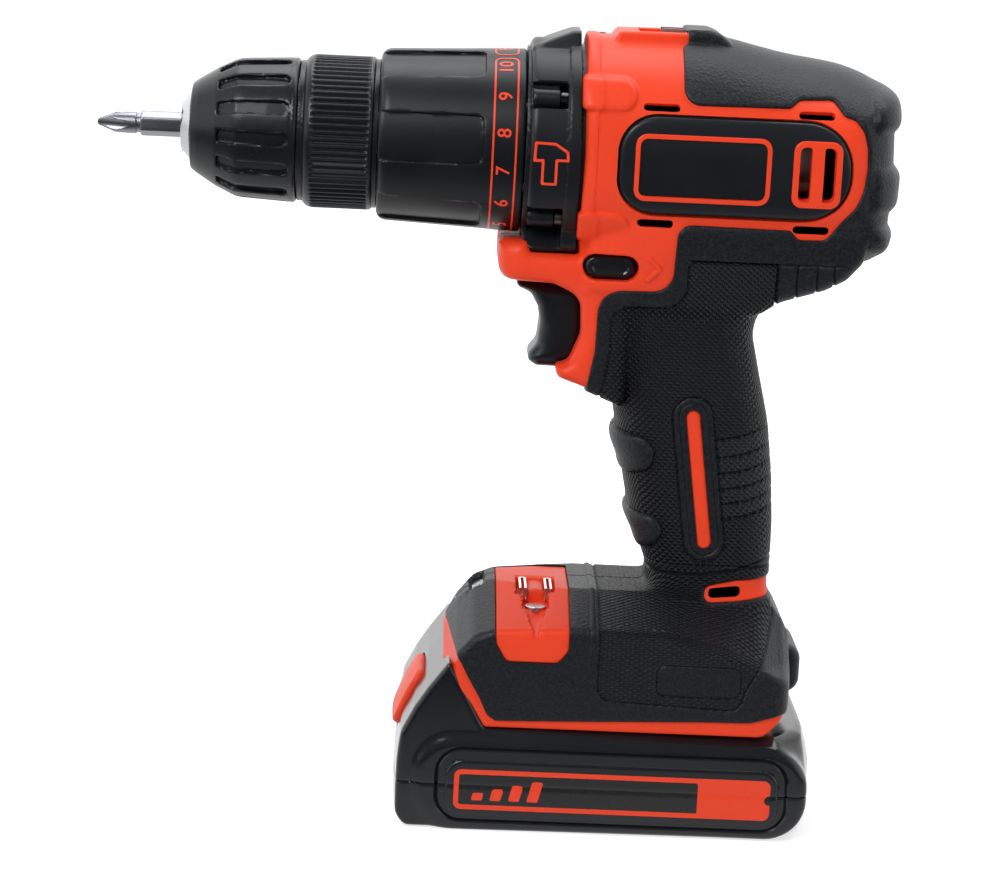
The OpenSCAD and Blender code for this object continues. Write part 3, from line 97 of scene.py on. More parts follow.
def rounded(points, arc=math.radians(9)):
    """A closed outline of (a, b, corner radius) points as a dense loop of (a, b)."""
    flat = [np.array(p[:2], float) for p in points]
    loop = []
    for i, (a, b, radius) in enumerate(points):
        here, to_last, to_next = flat[i], flat[i - 1] - flat[i], flat[(i + 1) % len(flat)] - flat[i]
        reach_last, reach_next = np.linalg.norm(to_last), np.linalg.norm(to_next)
        to_last, to_next = to_last / reach_last, to_next / reach_next
        half = math.acos(max(-1.0, min(1.0, float(to_last @ to_next)))) / 2
        sweep = math.pi - 2 * half
        if radius <= 0 or sweep < 0.03:
            loop.append(here)
            continue
        reach = min(radius / math.tan(half), 0.48 * reach_last, 0.48 * reach_next)
        radius = reach * math.tan(half)
        middle = here + (to_last + to_next) / np.linalg.norm(to_last + to_next) * radius / math.sin(half)
        start = here + to_last * reach - middle
        finish = here + to_next * reach - middle
        turn = sweep if start[0] * finish[1] - start[1] * finish[0] > 0 else -sweep
        steps = max(2, int(math.ceil(sweep / arc)))
        for k in range(steps + 1):
            c, s = math.cos(turn * k / steps), math.sin(turn * k / steps)
            loop.append(middle + np.array([start[0] * c - start[1] * s, start[0] * s + start[1] * c]))
    return np.array(loop)


def loop_distance(loop, a, b):
    """Distance from the points (a, b) to a closed loop, negative inside it."""
    near = np.full(a.shape, 1e9)
    inside = np.zeros(a.shape, bool)
    for (a0, b0), (a1, b1) in zip(loop, np.roll(loop, -1, axis=0)):
        da, db = a1 - a0, b1 - b0
        length = da * da + db * db
        if length < 1e-12:
            continue
        t = np.clip(((a - a0) * da + (b - b0) * db) / length, 0, 1)
        near = np.minimum(near, (a - a0 - t * da) ** 2 + (b - b0 - t * db) ** 2)
        if db != 0:
            inside ^= ((b0 > b) != (b1 > b)) & (a < (b - b0) * da / db + a0)
    return np.sqrt(near) * np.where(inside, -1, 1)


class Outline:
    """Signed distance to a rounded outline, looked up in a table of the given pitch."""

    def __init__(self, points, pitch=0.4, margin=14):
        self.loop = rounded(points)
        low, high = self.loop.min(axis=0) - margin, self.loop.max(axis=0) + margin
        self.low, self.pitch = low, pitch
        self.size = np.ceil((high - low) / pitch).astype(int) + 1
        a, b = np.meshgrid(*(low[k] + pitch * np.arange(self.size[k]) for k in (0, 1)), indexing="ij")
        self.table = loop_distance(self.loop, a, b)

    def __call__(self, a, b):
        p = (a - self.low[0]) / self.pitch
        q = (b - self.low[1]) / self.pitch
        pc = np.clip(p, 0, self.size[0] - 1.001)
        qc = np.clip(q, 0, self.size[1] - 1.001)
        i, j = pc.astype(int), qc.astype(int)
        f, g = pc - i, qc - j
        t = self.table
        near_side = t[i, j] * (1 - f) + t[i + 1, j] * f
        far_side = t[i, j + 1] * (1 - f) + t[i + 1, j + 1] * f
        return near_side * (1 - g) + far_side * g + np.hypot(p - pc, q - qc) * self.pitch


def smax(a, b, k):
    """The larger of two distances, with the edge between them rounded over about k."""
    return np.maximum(a, b) + np.maximum(k - np.abs(a - b), 0) ** 2 / (4 * k)


def smin(a, b, k):
    """The smaller of two distances, with the corner between them filled over about k."""
    return np.minimum(a, b) - np.maximum(k - np.abs(a - b), 0) ** 2 / (4 * k)


def box2(a, b, half_a, half_b, radius):
    """Distance to a rounded rectangle centred on zero."""
    qa, qb = np.abs(a) - half_a + radius, np.abs(b) - half_b + radius
    return np.hypot(np.maximum(qa, 0), np.maximum(qb, 0)) + np.minimum(np.maximum(qa, qb), 0) - radius


def stadium(a, b, half_a, radius):
    """Distance to a slot with round ends along a."""
    return np.hypot(np.maximum(np.abs(a) - half_a + radius, 0), b) - radius


def turned_by(a, b, angle):
    """The coordinates (a, b) seen in axes turned by angle."""
    c, s = math.cos(angle), math.sin(angle)
    return a * c + b * s, b * c - a * s


# ---------------------------------------------------------------- meshes as arrays


class Skin:
    """A triangle mesh held as arrays, which can be cut along level lines."""

    def __init__(self, points, faces):
        self.v, self.t = points, faces

    def split(self, values, snap=0.0):
        """Cuts the triangles along values = 0 and returns the values at the vertices of the cut mesh."""
        d = np.where(np.abs(values) < 1e-9 + snap, 0.0, values)
        sign = np.sign(d).astype(int)
        s = sign[self.t]
        cut = (s.min(axis=1) < 0) & (s.max(axis=1) > 0)
        if not cut.any():
            return d
        whole, t, s = self.t[~cut], self.t[cut], s[cut]
        zeros = (s == 0).any(axis=1)
        lone = np.where(s.sum(axis=1)[:, None] > 0, s < 0, s > 0)
        first = np.where(zeros, np.argmax(s == 0, axis=1), np.argmax(lone, axis=1))
        t = t[np.arange(len(t))[:, None], (first[:, None] + np.arange(3)) % 3]
        one, two = t[zeros], t[~zeros]
        pairs = np.concatenate([one[:, [1, 2]], two[:, [0, 1]], two[:, [0, 2]]])
        key = np.sort(pairs, axis=1)
        unique, back = np.unique(key, axis=0, return_inverse=True)
        back = back.reshape(-1) + len(self.v)
        da, db = d[unique[:, 0]], d[unique[:, 1]]
        share = (da / (da - db))[:, None]
        self.v = np.concatenate([self.v, self.v[unique[:, 0]] * (1 - share) + self.v[unique[:, 1]] * share])
        n1, n2 = len(one), len(two)
        m, p, q = back[:n1], back[n1:n1 + n2], back[n1 + n2:]
        self.t = np.concatenate([
            whole,
            np.stack([one[:, 0], one[:, 1], m], axis=1), np.stack([one[:, 0], m, one[:, 2]], axis=1),
            np.stack([two[:, 0], p, q], axis=1), np.stack([p, two[:, 1], two[:, 2]], axis=1),
            np.stack([p, two[:, 2], q], axis=1)])
        return np.concatenate([d, np.zeros(len(unique))])

    def lines(self, measure, levels):
        """Cuts along measure(points) = level for each level, with near vertices pulled onto the line."""
        for level in levels:
            self.split(measure(self.v) - level, snap=0.05)

    def part(self, faces):
        """A new mesh of the chosen triangles alone."""
        used, t = np.unique(self.t[faces], return_inverse=True)
        return Skin(self.v[used], t.reshape(-1, 3))

    def peel(self, measure):
        """Cuts along measure = 0, keeps what lies outside and returns what lies inside."""
        d = self.split(measure(self.v), snap=0.05)
        inside = d[self.t].mean(axis=1) < 0
        piece = self.part(inside)
        rest = self.part(~inside)
        self.v, self.t = rest.v, rest.t
        return piece

    def rim(self):
        """Edges that only one triangle uses, in that triangle's direction."""
        edges = np.concatenate([self.t[:, [0, 1]], self.t[:, [1, 2]], self.t[:, [2, 0]]])
        key = np.sort(edges, axis=1)
        order = np.lexsort((key[:, 1], key[:, 0]))
        k = key[order]
        same = (k[1:] == k[:-1]).all(axis=1)
        alone = np.ones(len(k), bool)
        alone[1:] &= ~same
        alone[:-1] &= ~same
        return edges[order[alone]]

    def thick(self, outer, inner):
        """A closed shell between two positions of the same mesh."""
        n, rim = len(self.v), self.rim()
        a, b = rim[:, 0], rim[:, 1]
        walls = np.concatenate([np.stack([b, a, a + n], axis=1), np.stack([b, a + n, b + n], axis=1)])
        return Skin(np.concatenate([outer, inner]), np.concatenate([self.t, self.t[:, ::-1] + n, walls]))


def surface(field, low, high, step, block=8):
    """The surface field = 0 inside a box, with one vertex in each cell that it crosses."""
    low, high = np.array(low, float), np.array(high, float)
    count = np.ceil((high - low) / (step * block)).astype(int)
    corner = np.stack(np.meshgrid(*(np.arange(c) for c in count), indexing="ij"), axis=-1)
    corner = corner.reshape(-1, 3) * block
    middle = low + (corner + block / 2) * step
    corner = corner[np.abs(field(middle)) < block * step * 1.1]
    offset = np.stack(np.meshgrid(*[np.arange(block + 1)] * 3, indexing="ij"), axis=-1)
    grid = corner[:, None, None, None, :] + offset
    value = field((low + grid.reshape(-1, 3) * step)).reshape(grid.shape[:-1])
    inside = value < 0
    size = count * block + 1
    stride = np.array([size[1] * size[2], size[2], 1])
    code = grid @ stride

    corners = [(i, j, k) for i in (0, 1) for j in (0, 1) for k in (0, 1)]
    window = [slice(0, block), slice(1, block + 1)]
    total = sum(inside[:, window[i], window[j], window[k]].astype(np.int8) for i, j, k in corners)
    live = (total > 0) & (total < 8)
    cells = code[:, :block, :block, :block][live]
    sums = np.zeros((len(cells), 3))
    weight = np.zeros(len(cells))
    for axis in range(3):
        for i, j, k in corners:
            c = (i, j, k)
            if c[axis]:
                continue
            far = tuple(1 if n == axis else c[n] for n in range(3))
            va = value[:, window[i], window[j], window[k]][live]
            vb = value[:, window[far[0]], window[far[1]], window[far[2]]][live]
            hit = (va < 0) != (vb < 0)
            share = np.where(hit, va / np.where(hit, va - vb, 1), 0)
            place = np.tile(np.array(c, float), (len(cells), 1))
            place[:, axis] += share
            sums += place * hit[:, None]
            weight += hit
    base = grid[:, :block, :block, :block][live]
    points = low + (base + sums / weight[:, None]) * step
    order = np.argsort(cells)
    cells, points = cells[order], points[order]

    quads = []
    for axis in range(3):
        along = [slice(0, block)] * 3
        ahead = list(along)
        ahead[axis] = slice(1, block + 1)
        a = inside[(slice(None), *along)]
        b = inside[(slice(None), *ahead)]
        hit = a != b
        where = code[:, :block, :block, :block][hit]
        leaving = a[hit]
        s1, s2 = stride[(axis + 1) % 3], stride[(axis + 2) % 3]
        ring = np.stack([where, where - s1, where - s1 - s2, where - s2], axis=1)
        quads.append(np.where(leaving[:, None], ring, ring[:, ::-1]))
    quads = np.concatenate(quads)
    index = np.searchsorted(cells, quads).clip(0, len(cells) - 1)
    index = index[(cells[index] == quads).all(axis=1)]
    points = settle(field, points)
    p = points[index]
    short = np.linalg.norm(p[:, 0] - p[:, 2], axis=1) <= np.linalg.norm(p[:, 1] - p[:, 3], axis=1)
    faces = np.concatenate([index[short][:, [0, 1, 2]], index[short][:, [0, 2, 3]],
                            index[~short][:, [0, 1, 3]], index[~short][:, [1, 2, 3]]])
    return Skin(points, faces)


def gradient(field, points, h=0.08):
    """The field's gradient by central differences."""
    out = np.empty_like(points)
    for axis in range(3):
        move = np.zeros(3)
        move[axis] = h
        out[:, axis] = (field(points + move) - field(points - move)) / (2 * h)
    return out


def settle(field, points, rounds=2):
    """Points moved onto field = 0."""
    for _ in range(rounds):
        g = gradient(field, points)
        size = np.maximum((g * g).sum(axis=1), 0.25)
        points = points - g * np.clip(field(points) / size, -0.6, 0.6)[:, None]
    return points


def outward(field, points):
    """Unit normals of the field at points."""
    g = gradient(field, points)
    return g / np.maximum(np.linalg.norm(g, axis=1), 1e-6)[:, None]


# ---------------------------------------------------------------- the body's shape
# u and w run along +X and +Z from the front face of the shells on the spindle axis;
# h is the height above the foot's lower edge.

BARREL_R = 31.1
FLANK = 30.6  # half width over the flat flanks
BARREL_SIDE = Outline([
    (0, -31.4, 0), (74, -30.4, 8), (82.5, -26, 7), (86, -17, 9), (87.4, -5, 20), (86.6, 6, 20),
    (85.6, 14, 8), (82.5, 21.6, 8), (74, 31.4, 0), (0, 31.4, 0)])
CAP_U = [30, 36, 42.6, 48.3, 56.8, 65.3, 73.8, 79.7, 84, 90]
CAP_W = [31.1, 31.1, 29.5, 28.2, 26.4, 25.5, 23.8, 21.2, 18.5, 15]
PLATFORM = Outline([
    (7.0, 27, 0), (7.2, 30.6, 1.5), (8.6, 32.3, 1.2), (27.3, 32.5, 0), (28.2, 33.1, 1),
    (32.8, 33.0, 2.5), (36, 31.9, 3), (39, 29.4, 2), (39, 27, 0)])
NOSE_SIDE = Outline([
    (-23.5, -26.2, 1.2), (-23.3, -37.2, 5), (-6.5, -37.9, 4), (1.2, -41.5, 6), (1.7, -52, 8),
    (-1.5, -59.8, 3), (-5.2, -60.9, 1), (-4.4, -64.2, 2.5), (3.6, -66.9, 0), (14, -71, 0),
    (16, -24, 0), (-0.2, -24, 0), (-0.2, -29.2, 0), (-13.2, -29, 0.5), (-14.6, -26.2, 0.8)])
SADDLE_SIDE = Outline([
    (2, -39, 0), (24, -43, 0), (50, -43.5, 6), (56, -39.2, 8), (68, -35.2, 8), (73.6, -32, 5),
    (77.5, -27, 4), (79.5, -18, 0), (2, -18, 0)])
GRIP_SIDE = Outline([
    (4, -22, 0), (5, -66, 0), (10.5, -69.5, 3), (12.8, -73, 3), (13.7, -77.5, 3), (12.9, -82.5, 3.5),
    (15.7, -87.5, 3), (17, -94, 6), (18.2, -99.5, 3), (18.3, -103.5, 3), (21, -108, 5), (25.2, -119, 8),
    (27, -134, 0), (58.5, -134, 0), (58.3, -116, 20), (58.3, -104, 30), (57.6, -90, 30),
    (56, -76, 30), (52.3, -62, 15), (49.4, -50, 8), (52.3, -43.6, 6), (60, -38, 0), (60, -22, 0)])
FOOT_SIDE = Outline([
    (-36.5, 0, 1), (41.5, 0, 4), (47.6, 5.5, 3), (48.9, 12, 4), (48.9, 21, 3), (48.3, 25.5, 3),
    (46.4, 29.2, 3), (43.2, 32.4, 3), (40, 35.2, 4), (-34, 35.4, 4), (-40, 33.6, 4),
    (-44.4, 28.5, 3), (-47.3, 23.2, 2), (-49.0, 20.4, 1), (-47.4, 18, 3), (-44.7, 13.3, 6)])
FOOT_PLAN = Outline([
    (-49.6, -22, 5), (-45.2, -35.4, 2.5), (47, -35.4, 5), (49.5, -20, 8), (49.5, 20, 8), (47, 35.4, 5),
    (-45.2, 35.4, 2.5), (-49.6, 22, 5)])
PLATFORM_HALF = 10.6
BUMPERS = [(14.5, 5.2), (-7.2, 5.6), (-21.4, 3.4)]  # middle and half height on the cap's back
BUMPER_OUT, BUMPER_FROM = 1.9, 78.5
FLANGE_OUT, FLANGE_LONG = 0.5, 3.0  # the thicker edge in front
BOSSES = [(16.3, 4.4, 13.2), (-20.6, 4.2, 13)]  # middle, half height and length behind the flange
BOSS_OUT = 1.3
NOSE_HALF = 19
GRIP_HALF, GRIP_OVAL = 17.4, 23.6
FOOT_HALF = 35.4
FOOT_FLAT = 15.1  # half width of the level strip along the foot's top
HEEL = (45.4, 14.3, 7.4, 6.2, 13)  # the stop behind the foot: x, height, two half sizes, half width
DIAL_ROOM_R, SEAT_R = 26.4, 29.4
PULL_ROOM = (1.5, 10.5, 127.4, 152.6)  # the trigger's room: back, half width, lowest and highest
SCREW_R = 3.1

SLOTS = [(19.9, 13.4), (19.9, -18.6), (62.3, 12.9), (62.7, -18.6)]  # vent slots in the flank
SLOT_HALF, SLOT_R = 5.0, 1.05
SELECTOR = (8.8, -32.0, 7.6, 3.7)  # the direction selector's hole: middle, half length and radius
CLIP_POCKET = (14.4, 27.3, 7.2, 29.4)  # the top clip's room: from u to u, half width, floor w
SCREWS = [(5, 27), (74.3, 18), (77.3, -22.5), (33, -38), (23.9, -85.5), (48.9, -112.4)]
FOOT_SCREWS = [(-35.3, 21), (47, 12)]
LIGHT_AT, LIGHT_TILT = (-39.9, 62.8), math.radians(-47.5)
LIGHT_HALF = (3.6, 7.5, 2.8)  # the work light's window: height, width and depth
BIT_X = -23.2  # middle of the bit holder
GROOVE_Y = 22  # where the bit holder's groove starts


def cap_scale(u):
    """How much lower the cap's top is than the barrel's, as a smooth factor."""
    spread = sum(np.interp(u + d, CAP_U, CAP_W) for d in (-4, -2, 0, 2, 4)) / 5
    return spread / BARREL_R


def upper(p):
    """u, the distance from the middle plane, and w."""
    return p[:, 0] - FRONT, np.abs(p[:, 1]), p[:, 2] - AXIS


def barrel_field(p):
    """The barrel with its cap, the platform on top, the bumpers behind and the flange in front."""
    u, y, w = upper(p)
    squeeze = np.where(w > 0, cap_scale(u), 1)
    round_body = (np.hypot(y, w / squeeze) - BARREL_R) * squeeze
    flat = smax(round_body, y - FLANK, 3)
    plan = box2(u - 28, y, 58.6, FLANK + 0.4, 22)
    base = smax(smax(BARREL_SIDE(u, w), plan, 6), flat, 2)
    base = smin(base, smax(PLATFORM(u, w), y - PLATFORM_HALF, 1.2), 1)
    for middle, half in BUMPERS:
        lump = smax(smax(base - BUMPER_OUT, np.abs(w - middle) - half, 3), BUMPER_FROM - u, 3)
        base = smin(base, lump, 1.6)
    flange = smax(smax(base - FLANGE_OUT, u - FLANGE_LONG, 0.5), -31.3 - w, 1)
    base = np.minimum(base, flange)
    for middle, half, reach in BOSSES:
        boss = stadium(u - reach / 2 + 4, w - middle, reach / 2 + 4, half)
        base = smin(base, smax(boss, base - BOSS_OUT, 1.4), 0.8)
    return base


def grip_field(p):
    """The grip: its side view, its width, and an oval round its leaning middle."""
    u, y, w = upper(p)
    x, z = p[:, 0] - GRIP_X, p[:, 2] - GRIP_Z
    across = x * math.cos(GRIP_LEAN) + z * math.sin(GRIP_LEAN)
    oval = np.hypot(across - 1.0, y) - GRIP_OVAL
    return smax(smax(GRIP_SIDE(u, w), y - GRIP_HALF, 9), oval, 5)


def foot_field(p):
    """The foot, whose top slopes down to both sides of a level strip that narrows to the front."""
    x, y, h = p[:, 0], np.abs(p[:, 1]), p[:, 2] - BASE
    slope = np.interp(x, [-48, -33, -12, 12, 31, 45], [0.27, 0.29, 0.34, 0.38, 0.64, 0.9])
    beside = np.maximum(y - np.clip(FOOT_FLAT + 0.34 * (x + 12), 2.5, FOOT_FLAT), 0)
    drop = slope * beside * np.clip((h - 7) / 12, 0, 1)
    value = smax(FOOT_SIDE(x, h + drop), y - FOOT_HALF, 1.2)
    value = smax(value * 0.96, FOOT_PLAN(x, y), 1.5)
    at_x, at_h, half_x, half_h, half_y = HEEL
    heel = smax(box2(x - at_x, h - at_h, half_x, half_h, 3.5), y - half_y, 3)
    return smin(value, heel, 1.2)


def saddle_field(p):
    """What joins the barrel to the grip, under the barrel: its flanks lean in."""
    u, y, w = upper(p)
    slope = (y - 19.6 - 0.32 * (w + 43)) * 0.95
    taper = (y - 20.6 - (u + 1) * 0.3) * 0.96
    return smax(smax(SADDLE_SIDE(u, w), smax(slope, taper, 3), 3), y - 26, 2)


def front_room(p):
    """Negative where the dial and the gear housing sit in the front of the shells."""
    u, y, w = upper(p)
    r = np.hypot(y, w)
    mouth = u + 1.6 + 0.018 * w
    dial_room = np.maximum(r - DIAL_ROOM_R, u + 13)
    seat = np.minimum(r - SEAT_R, box2(y, w + 20, 19.2, 9.4, 4.5))
    seat = np.maximum(np.maximum(seat, mouth), -u - 13.6)
    rim = np.maximum(mouth, -25.5 - w)
    return np.minimum(np.minimum(dial_room, seat), rim)


def body_field(p, side):
    """Distance to the whole body. side is -1 on the user's left and 1 on the right."""
    u, y, w = upper(p)
    x, z = p[:, 0], p[:, 2]
    h = z - BASE
    nose = smax(NOSE_SIDE(u, w), box2(u - 0.5, y, 24, NOSE_HALF, 8), 4.5)
    value = smin(saddle_field(p), grip_field(p), 4)
    value = smin(value, nose, 2)
    value = smin(value, barrel_field(p), 1.0)
    value = smin(value, foot_field(p), 5)
    value = smax(value, -front_room(p), 0.5)
    back, half, lowest, highest = PULL_ROOM
    pull = np.maximum(np.maximum(y - half, x - back), np.maximum(z - highest, lowest - z))
    value = smax(value, -pull, 0.5)
    hole = stadium(u - SELECTOR[0], w - SELECTOR[1], SELECTOR[2], SELECTOR[3])
    value = smax(value, -smax(hole, 13.5 - y, 0.3), 0.9)
    first, last, half, floor_w = CLIP_POCKET
    pocket = np.maximum(np.abs(u - (first + last) / 2) - (last - first) / 2, y - half)
    value = smax(value, -np.maximum(pocket, floor_w - w), 0.4)
    lx, lz = turned_by(x - LIGHT_AT[0], z - LIGHT_AT[1], LIGHT_TILT)
    window = smax(box2(lx, y, LIGHT_HALF[0], LIGHT_HALF[1], 2), np.abs(lz) - LIGHT_HALF[2], 0.3)
    value = smax(value, -window, 0.5)
    if side < 0:
        return np.where(h < 45, insert_field(value, x, y, z), value)
    for su, sw in SCREWS:
        deep = (16.6 if sw < -60 else 24.5) - 3
        value = smax(value, -smax(np.hypot(u - su, w - sw) - SCREW_R, deep - y, 0.3), 0.5)
    for sx, sh in FOOT_SCREWS:
        value = smax(value, -smax(np.hypot(x - sx, h - sh) - SCREW_R, 31 - y, 0.3), 0.5)
    return value


def insert_field(value, x, y, z):
    """The bit holder in the foot: a pocket for the magnet, room for the springs beside a tongue, and
    a groove that tapers to the foot's side."""
    mid = np.abs(x - BIT_X)
    pocket = smax(smax(mid - 3.9, np.abs(y - 18.2) - 5.2, 0.5), 60.6 - z, 0.4)
    value = smax(value, -pocket, 0.5)
    room = smax(smax(mid - 5.6, np.abs(y - 8.4) - 7.0, 0.6), 62.4 - z, 0.4)
    tongue = smax(mid - 2.3, z - 64.6 + 0.12 * mid ** 2, 0.4)
    value = smax(value, -smax(room, -tongue, 0.5), 0.4)
    width = np.interp(y, [GROOVE_Y, FOOT_HALF], [3.3, 0.8])
    floor_z = np.interp(y, [GROOVE_Y, FOOT_HALF], [59.8, 56.4])
    taper = smax(mid - width, floor_z + 0.35 * mid ** 2 / width - z, 0.4)
    return smax(value, -smax(taper, GROOVE_Y - y, 0.5), 0.4)


# ---------------------------------------------------------------- objects


def make(name, skin, material, body="root", side=1, crease=38):
    """A Blender object from a mesh in millimetres. On side -1 it is mirrored to the user's left."""
    v, t = skin.v * MM, skin.t
    if side < 0:
        v, t = v * [1, -1, 1], t[:, ::-1]
    mesh = bpy.data.meshes.new(name)
    mesh.vertices.add(len(v))
    mesh.vertices.foreach_set("co", v.ravel())
    mesh.loops.add(t.size)
    mesh.loops.foreach_set("vertex_index", t.astype(np.int32).ravel())
    mesh.polygons.add(len(t))
    mesh.polygons.foreach_set("loop_start", np.arange(0, t.size, t.shape[1], dtype=np.int32))
    mesh.update(calc_edges=True)
    mesh.validate()
    mesh.polygons.foreach_set("use_smooth", np.ones(len(mesh.polygons), bool))
    mesh.set_sharp_from_angle(angle=math.radians(crease))
    mesh.materials.append(material)
    obj = bpy.data.objects.new(name, mesh)
    bpy.context.scene.collection.objects.link(obj)
    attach(obj, body)
    return obj


def mark_points(obj, name, values):
    """Stores one number for each vertex, which the materials read by name."""
    obj.data.attributes.new(name, "FLOAT", "POINT").data.foreach_set("value", values.astype(np.float32))


def open_line(points):
    """Distance to an open line through points, with a sign for its side."""
    points = np.array(points, float)

    def measure(a, b):
        near = np.full(a.shape, 1e9)
        sign = np.ones(a.shape)
        for (a0, b0), (a1, b1) in zip(points[:-1], points[1:]):
            da, db = a1 - a0, b1 - b0
            t = np.clip(((a - a0) * da + (b - b0) * db) / (da * da + db * db), 0, 1)
            ea, eb = a - a0 - t * da, b - b0 - t * db
            d = np.hypot(ea, eb)
            closer = d < near
            near = np.where(closer, d, near)
            sign = np.where(closer, np.sign(da * eb - db * ea), sign)
        return near * np.where(sign == 0, 1, sign)

    return measure


class Mark:
    """A relief on a skin: the lines to cut it along, and the height that it adds."""

    def __init__(self, measure, levels, height):
        self.measure, self.levels, self.height = measure, levels, height

    def lift(self, points):
        return self.height(self.measure(points))


def groove(measure, half=0.45, deep=0.45):
    """A V-shaped groove along measure = 0."""
    return Mark(measure, (-half, 0, half), lambda d: -deep * np.clip(1 - np.abs(d) / half, 0, 1))


def bead(measure, half, rise):
    """A round ridge along measure = 0."""
    return Mark(measure, (-half, 0, half), lambda d: rise * np.sqrt(np.clip(1 - (d / half) ** 2, 0, 1)))


def raised(measure, rise, edge=0.7):
    """Lifts what lies inside measure < 0, with a rounded shoulder of width edge."""

    def height(d):
        t = np.clip(-d / edge, 0, 1)
        return rise * np.sqrt(1 - (1 - t) ** 2)

    return Mark(measure, (0, -0.15 * edge, -0.45 * edge, -edge), height)


def side_view(shape):
    """A measure in X and Z from a shape in u and w."""
    return lambda p: shape(p[:, 0] - FRONT, p[:, 2] - AXIS)


def foot_view(shape):
    """A measure in X and Z from a shape in x and h."""
    return lambda p: shape(p[:, 0], p[:, 2] - BASE)


def xz_view(shape):
    """A measure in X and Z from a shape in the same."""
    return lambda p: shape(p[:, 0], p[:, 2])


def only(measure, limit):
    """A measure inside which limit is negative as well."""
    return lambda p: np.maximum(measure(p), limit(p))


def carve(skin, marks):
    """Cuts a skin along the lines of its marks."""
    for m in marks:
        skin.lines(m.measure, m.levels)


def shell(name, skin, field, marks, material, side, wall=1.4, lift=0.0, body="root"):
    """Cuts, lifts and thickens a piece of the body's skin and makes an object of it."""
    carve(skin, marks)
    n = outward(field, skin.v)
    height = np.full(len(skin.v), lift) + sum(m.lift(skin.v) for m in marks)
    outer = skin.v + n * height[:, None]
    outer[:, 2] = np.minimum(outer[:, 2], TOP_Z)
    return make(name, skin.thick(outer, skin.v - n * wall), material, body, side)


# ---------------------------------------------------------------- materials


def add_node(tree, kind, inputs=(), **fields):
    """A node with its fields set and its inputs linked to sockets or set to values."""
    node = tree.nodes.new(kind)
    for key, value in fields.items():
        setattr(node, key, value)
    for key, value in dict(inputs).items():
        if isinstance(value, bpy.types.NodeSocket):
            tree.links.new(value, node.inputs[key])
        else:
            node.inputs[key].default_value = value
    return node


class Nodes:
    """A material's node tree, built by short calls."""

    def __init__(self, name, **sockets):
        self.mat = bpy.data.materials.new(name)
        self.mat.use_nodes = True
        self.tree = self.mat.node_tree
        self.shader = self.tree.nodes["Principled BSDF"]
        for key, value in sockets.items():
            self.shader.inputs[key.replace("_", " ")].default_value = value
        self.place = self.add("ShaderNodeTexCoord").outputs["Object"]

    def add(self, kind, inputs=(), **fields):
        return add_node(self.tree, kind, inputs, **fields)

    def noise(self, scale, detail=2.0, stretch=None):
        at = self.place
        if stretch:
            at = self.add("ShaderNodeMapping", {"Vector": at, "Scale": stretch}).outputs["Vector"]
        return self.add("ShaderNodeTexNoise", {"Vector": at, "Scale": scale, "Detail": detail}).outputs["Fac"]

    def sum(self, a, b, how="ADD", clamp=False):
        return self.add("ShaderNodeMath", {0: a, 1: b}, operation=how, use_clamp=clamp).outputs[0]

    def span(self, value, low, high, to_low, to_high):
        node = self.add("ShaderNodeMapRange", {"Value": value, "From Min": low, "From Max": high,
                                               "To Min": to_low, "To Max": to_high})
        return node.outputs["Result"]

    def mix(self, share, a, b):
        return self.add("ShaderNodeMix", {0: share, 6: a, 7: b}, data_type="RGBA").outputs[2]

    def attribute(self, name):
        return self.add("ShaderNodeAttribute", attribute_name=name).outputs["Fac"]

    def wave(self, phase):
        """A cosine of a phase in turns, from 0 to 1."""
        turned = self.sum(phase, 2 * math.pi, "MULTIPLY")
        return self.span(self.sum(turned, 0.0, "COSINE"), -1, 1, 0, 1)

    def color(self, value):
        self.tree.links.new(value, self.shader.inputs["Base Color"])

    def rough(self, value):
        self.tree.links.new(value, self.shader.inputs["Roughness"])

    def bump(self, height, distance, strength=1.0):
        """distance is the height in metres that 0 to 1 stands for."""
        node = self.add("ShaderNodeBump", {"Height": height, "Distance": distance, "Strength": strength})
        self.tree.links.new(node.outputs["Normal"], self.shader.inputs["Normal"])


def rgb(r, g, b):
    return (r, g, b, 1.0)


def plastic(name, base, rough, grain=0.00002, scale=2600, speck=0.12, **sockets):
    """Moulded plastic: a fine spark-eroded grain, a soft mottle and a little uneven gloss."""
    n = Nodes(name, IOR=1.5, **sockets)
    fine = n.noise(scale, 3)
    cloud = n.noise(55, 2)
    dark = rgb(*(c * (1 - speck) for c in base))
    light = rgb(*(min(1, c * (1 + speck * 0.6)) for c in base))
    n.color(n.mix(n.span(n.sum(fine, cloud), 0.7, 1.3, 0, 1), dark, light))
    n.rough(n.span(n.sum(fine, cloud), 0.7, 1.3, rough - 0.05, rough + 0.06))
    n.bump(fine, grain)
    return n.mat


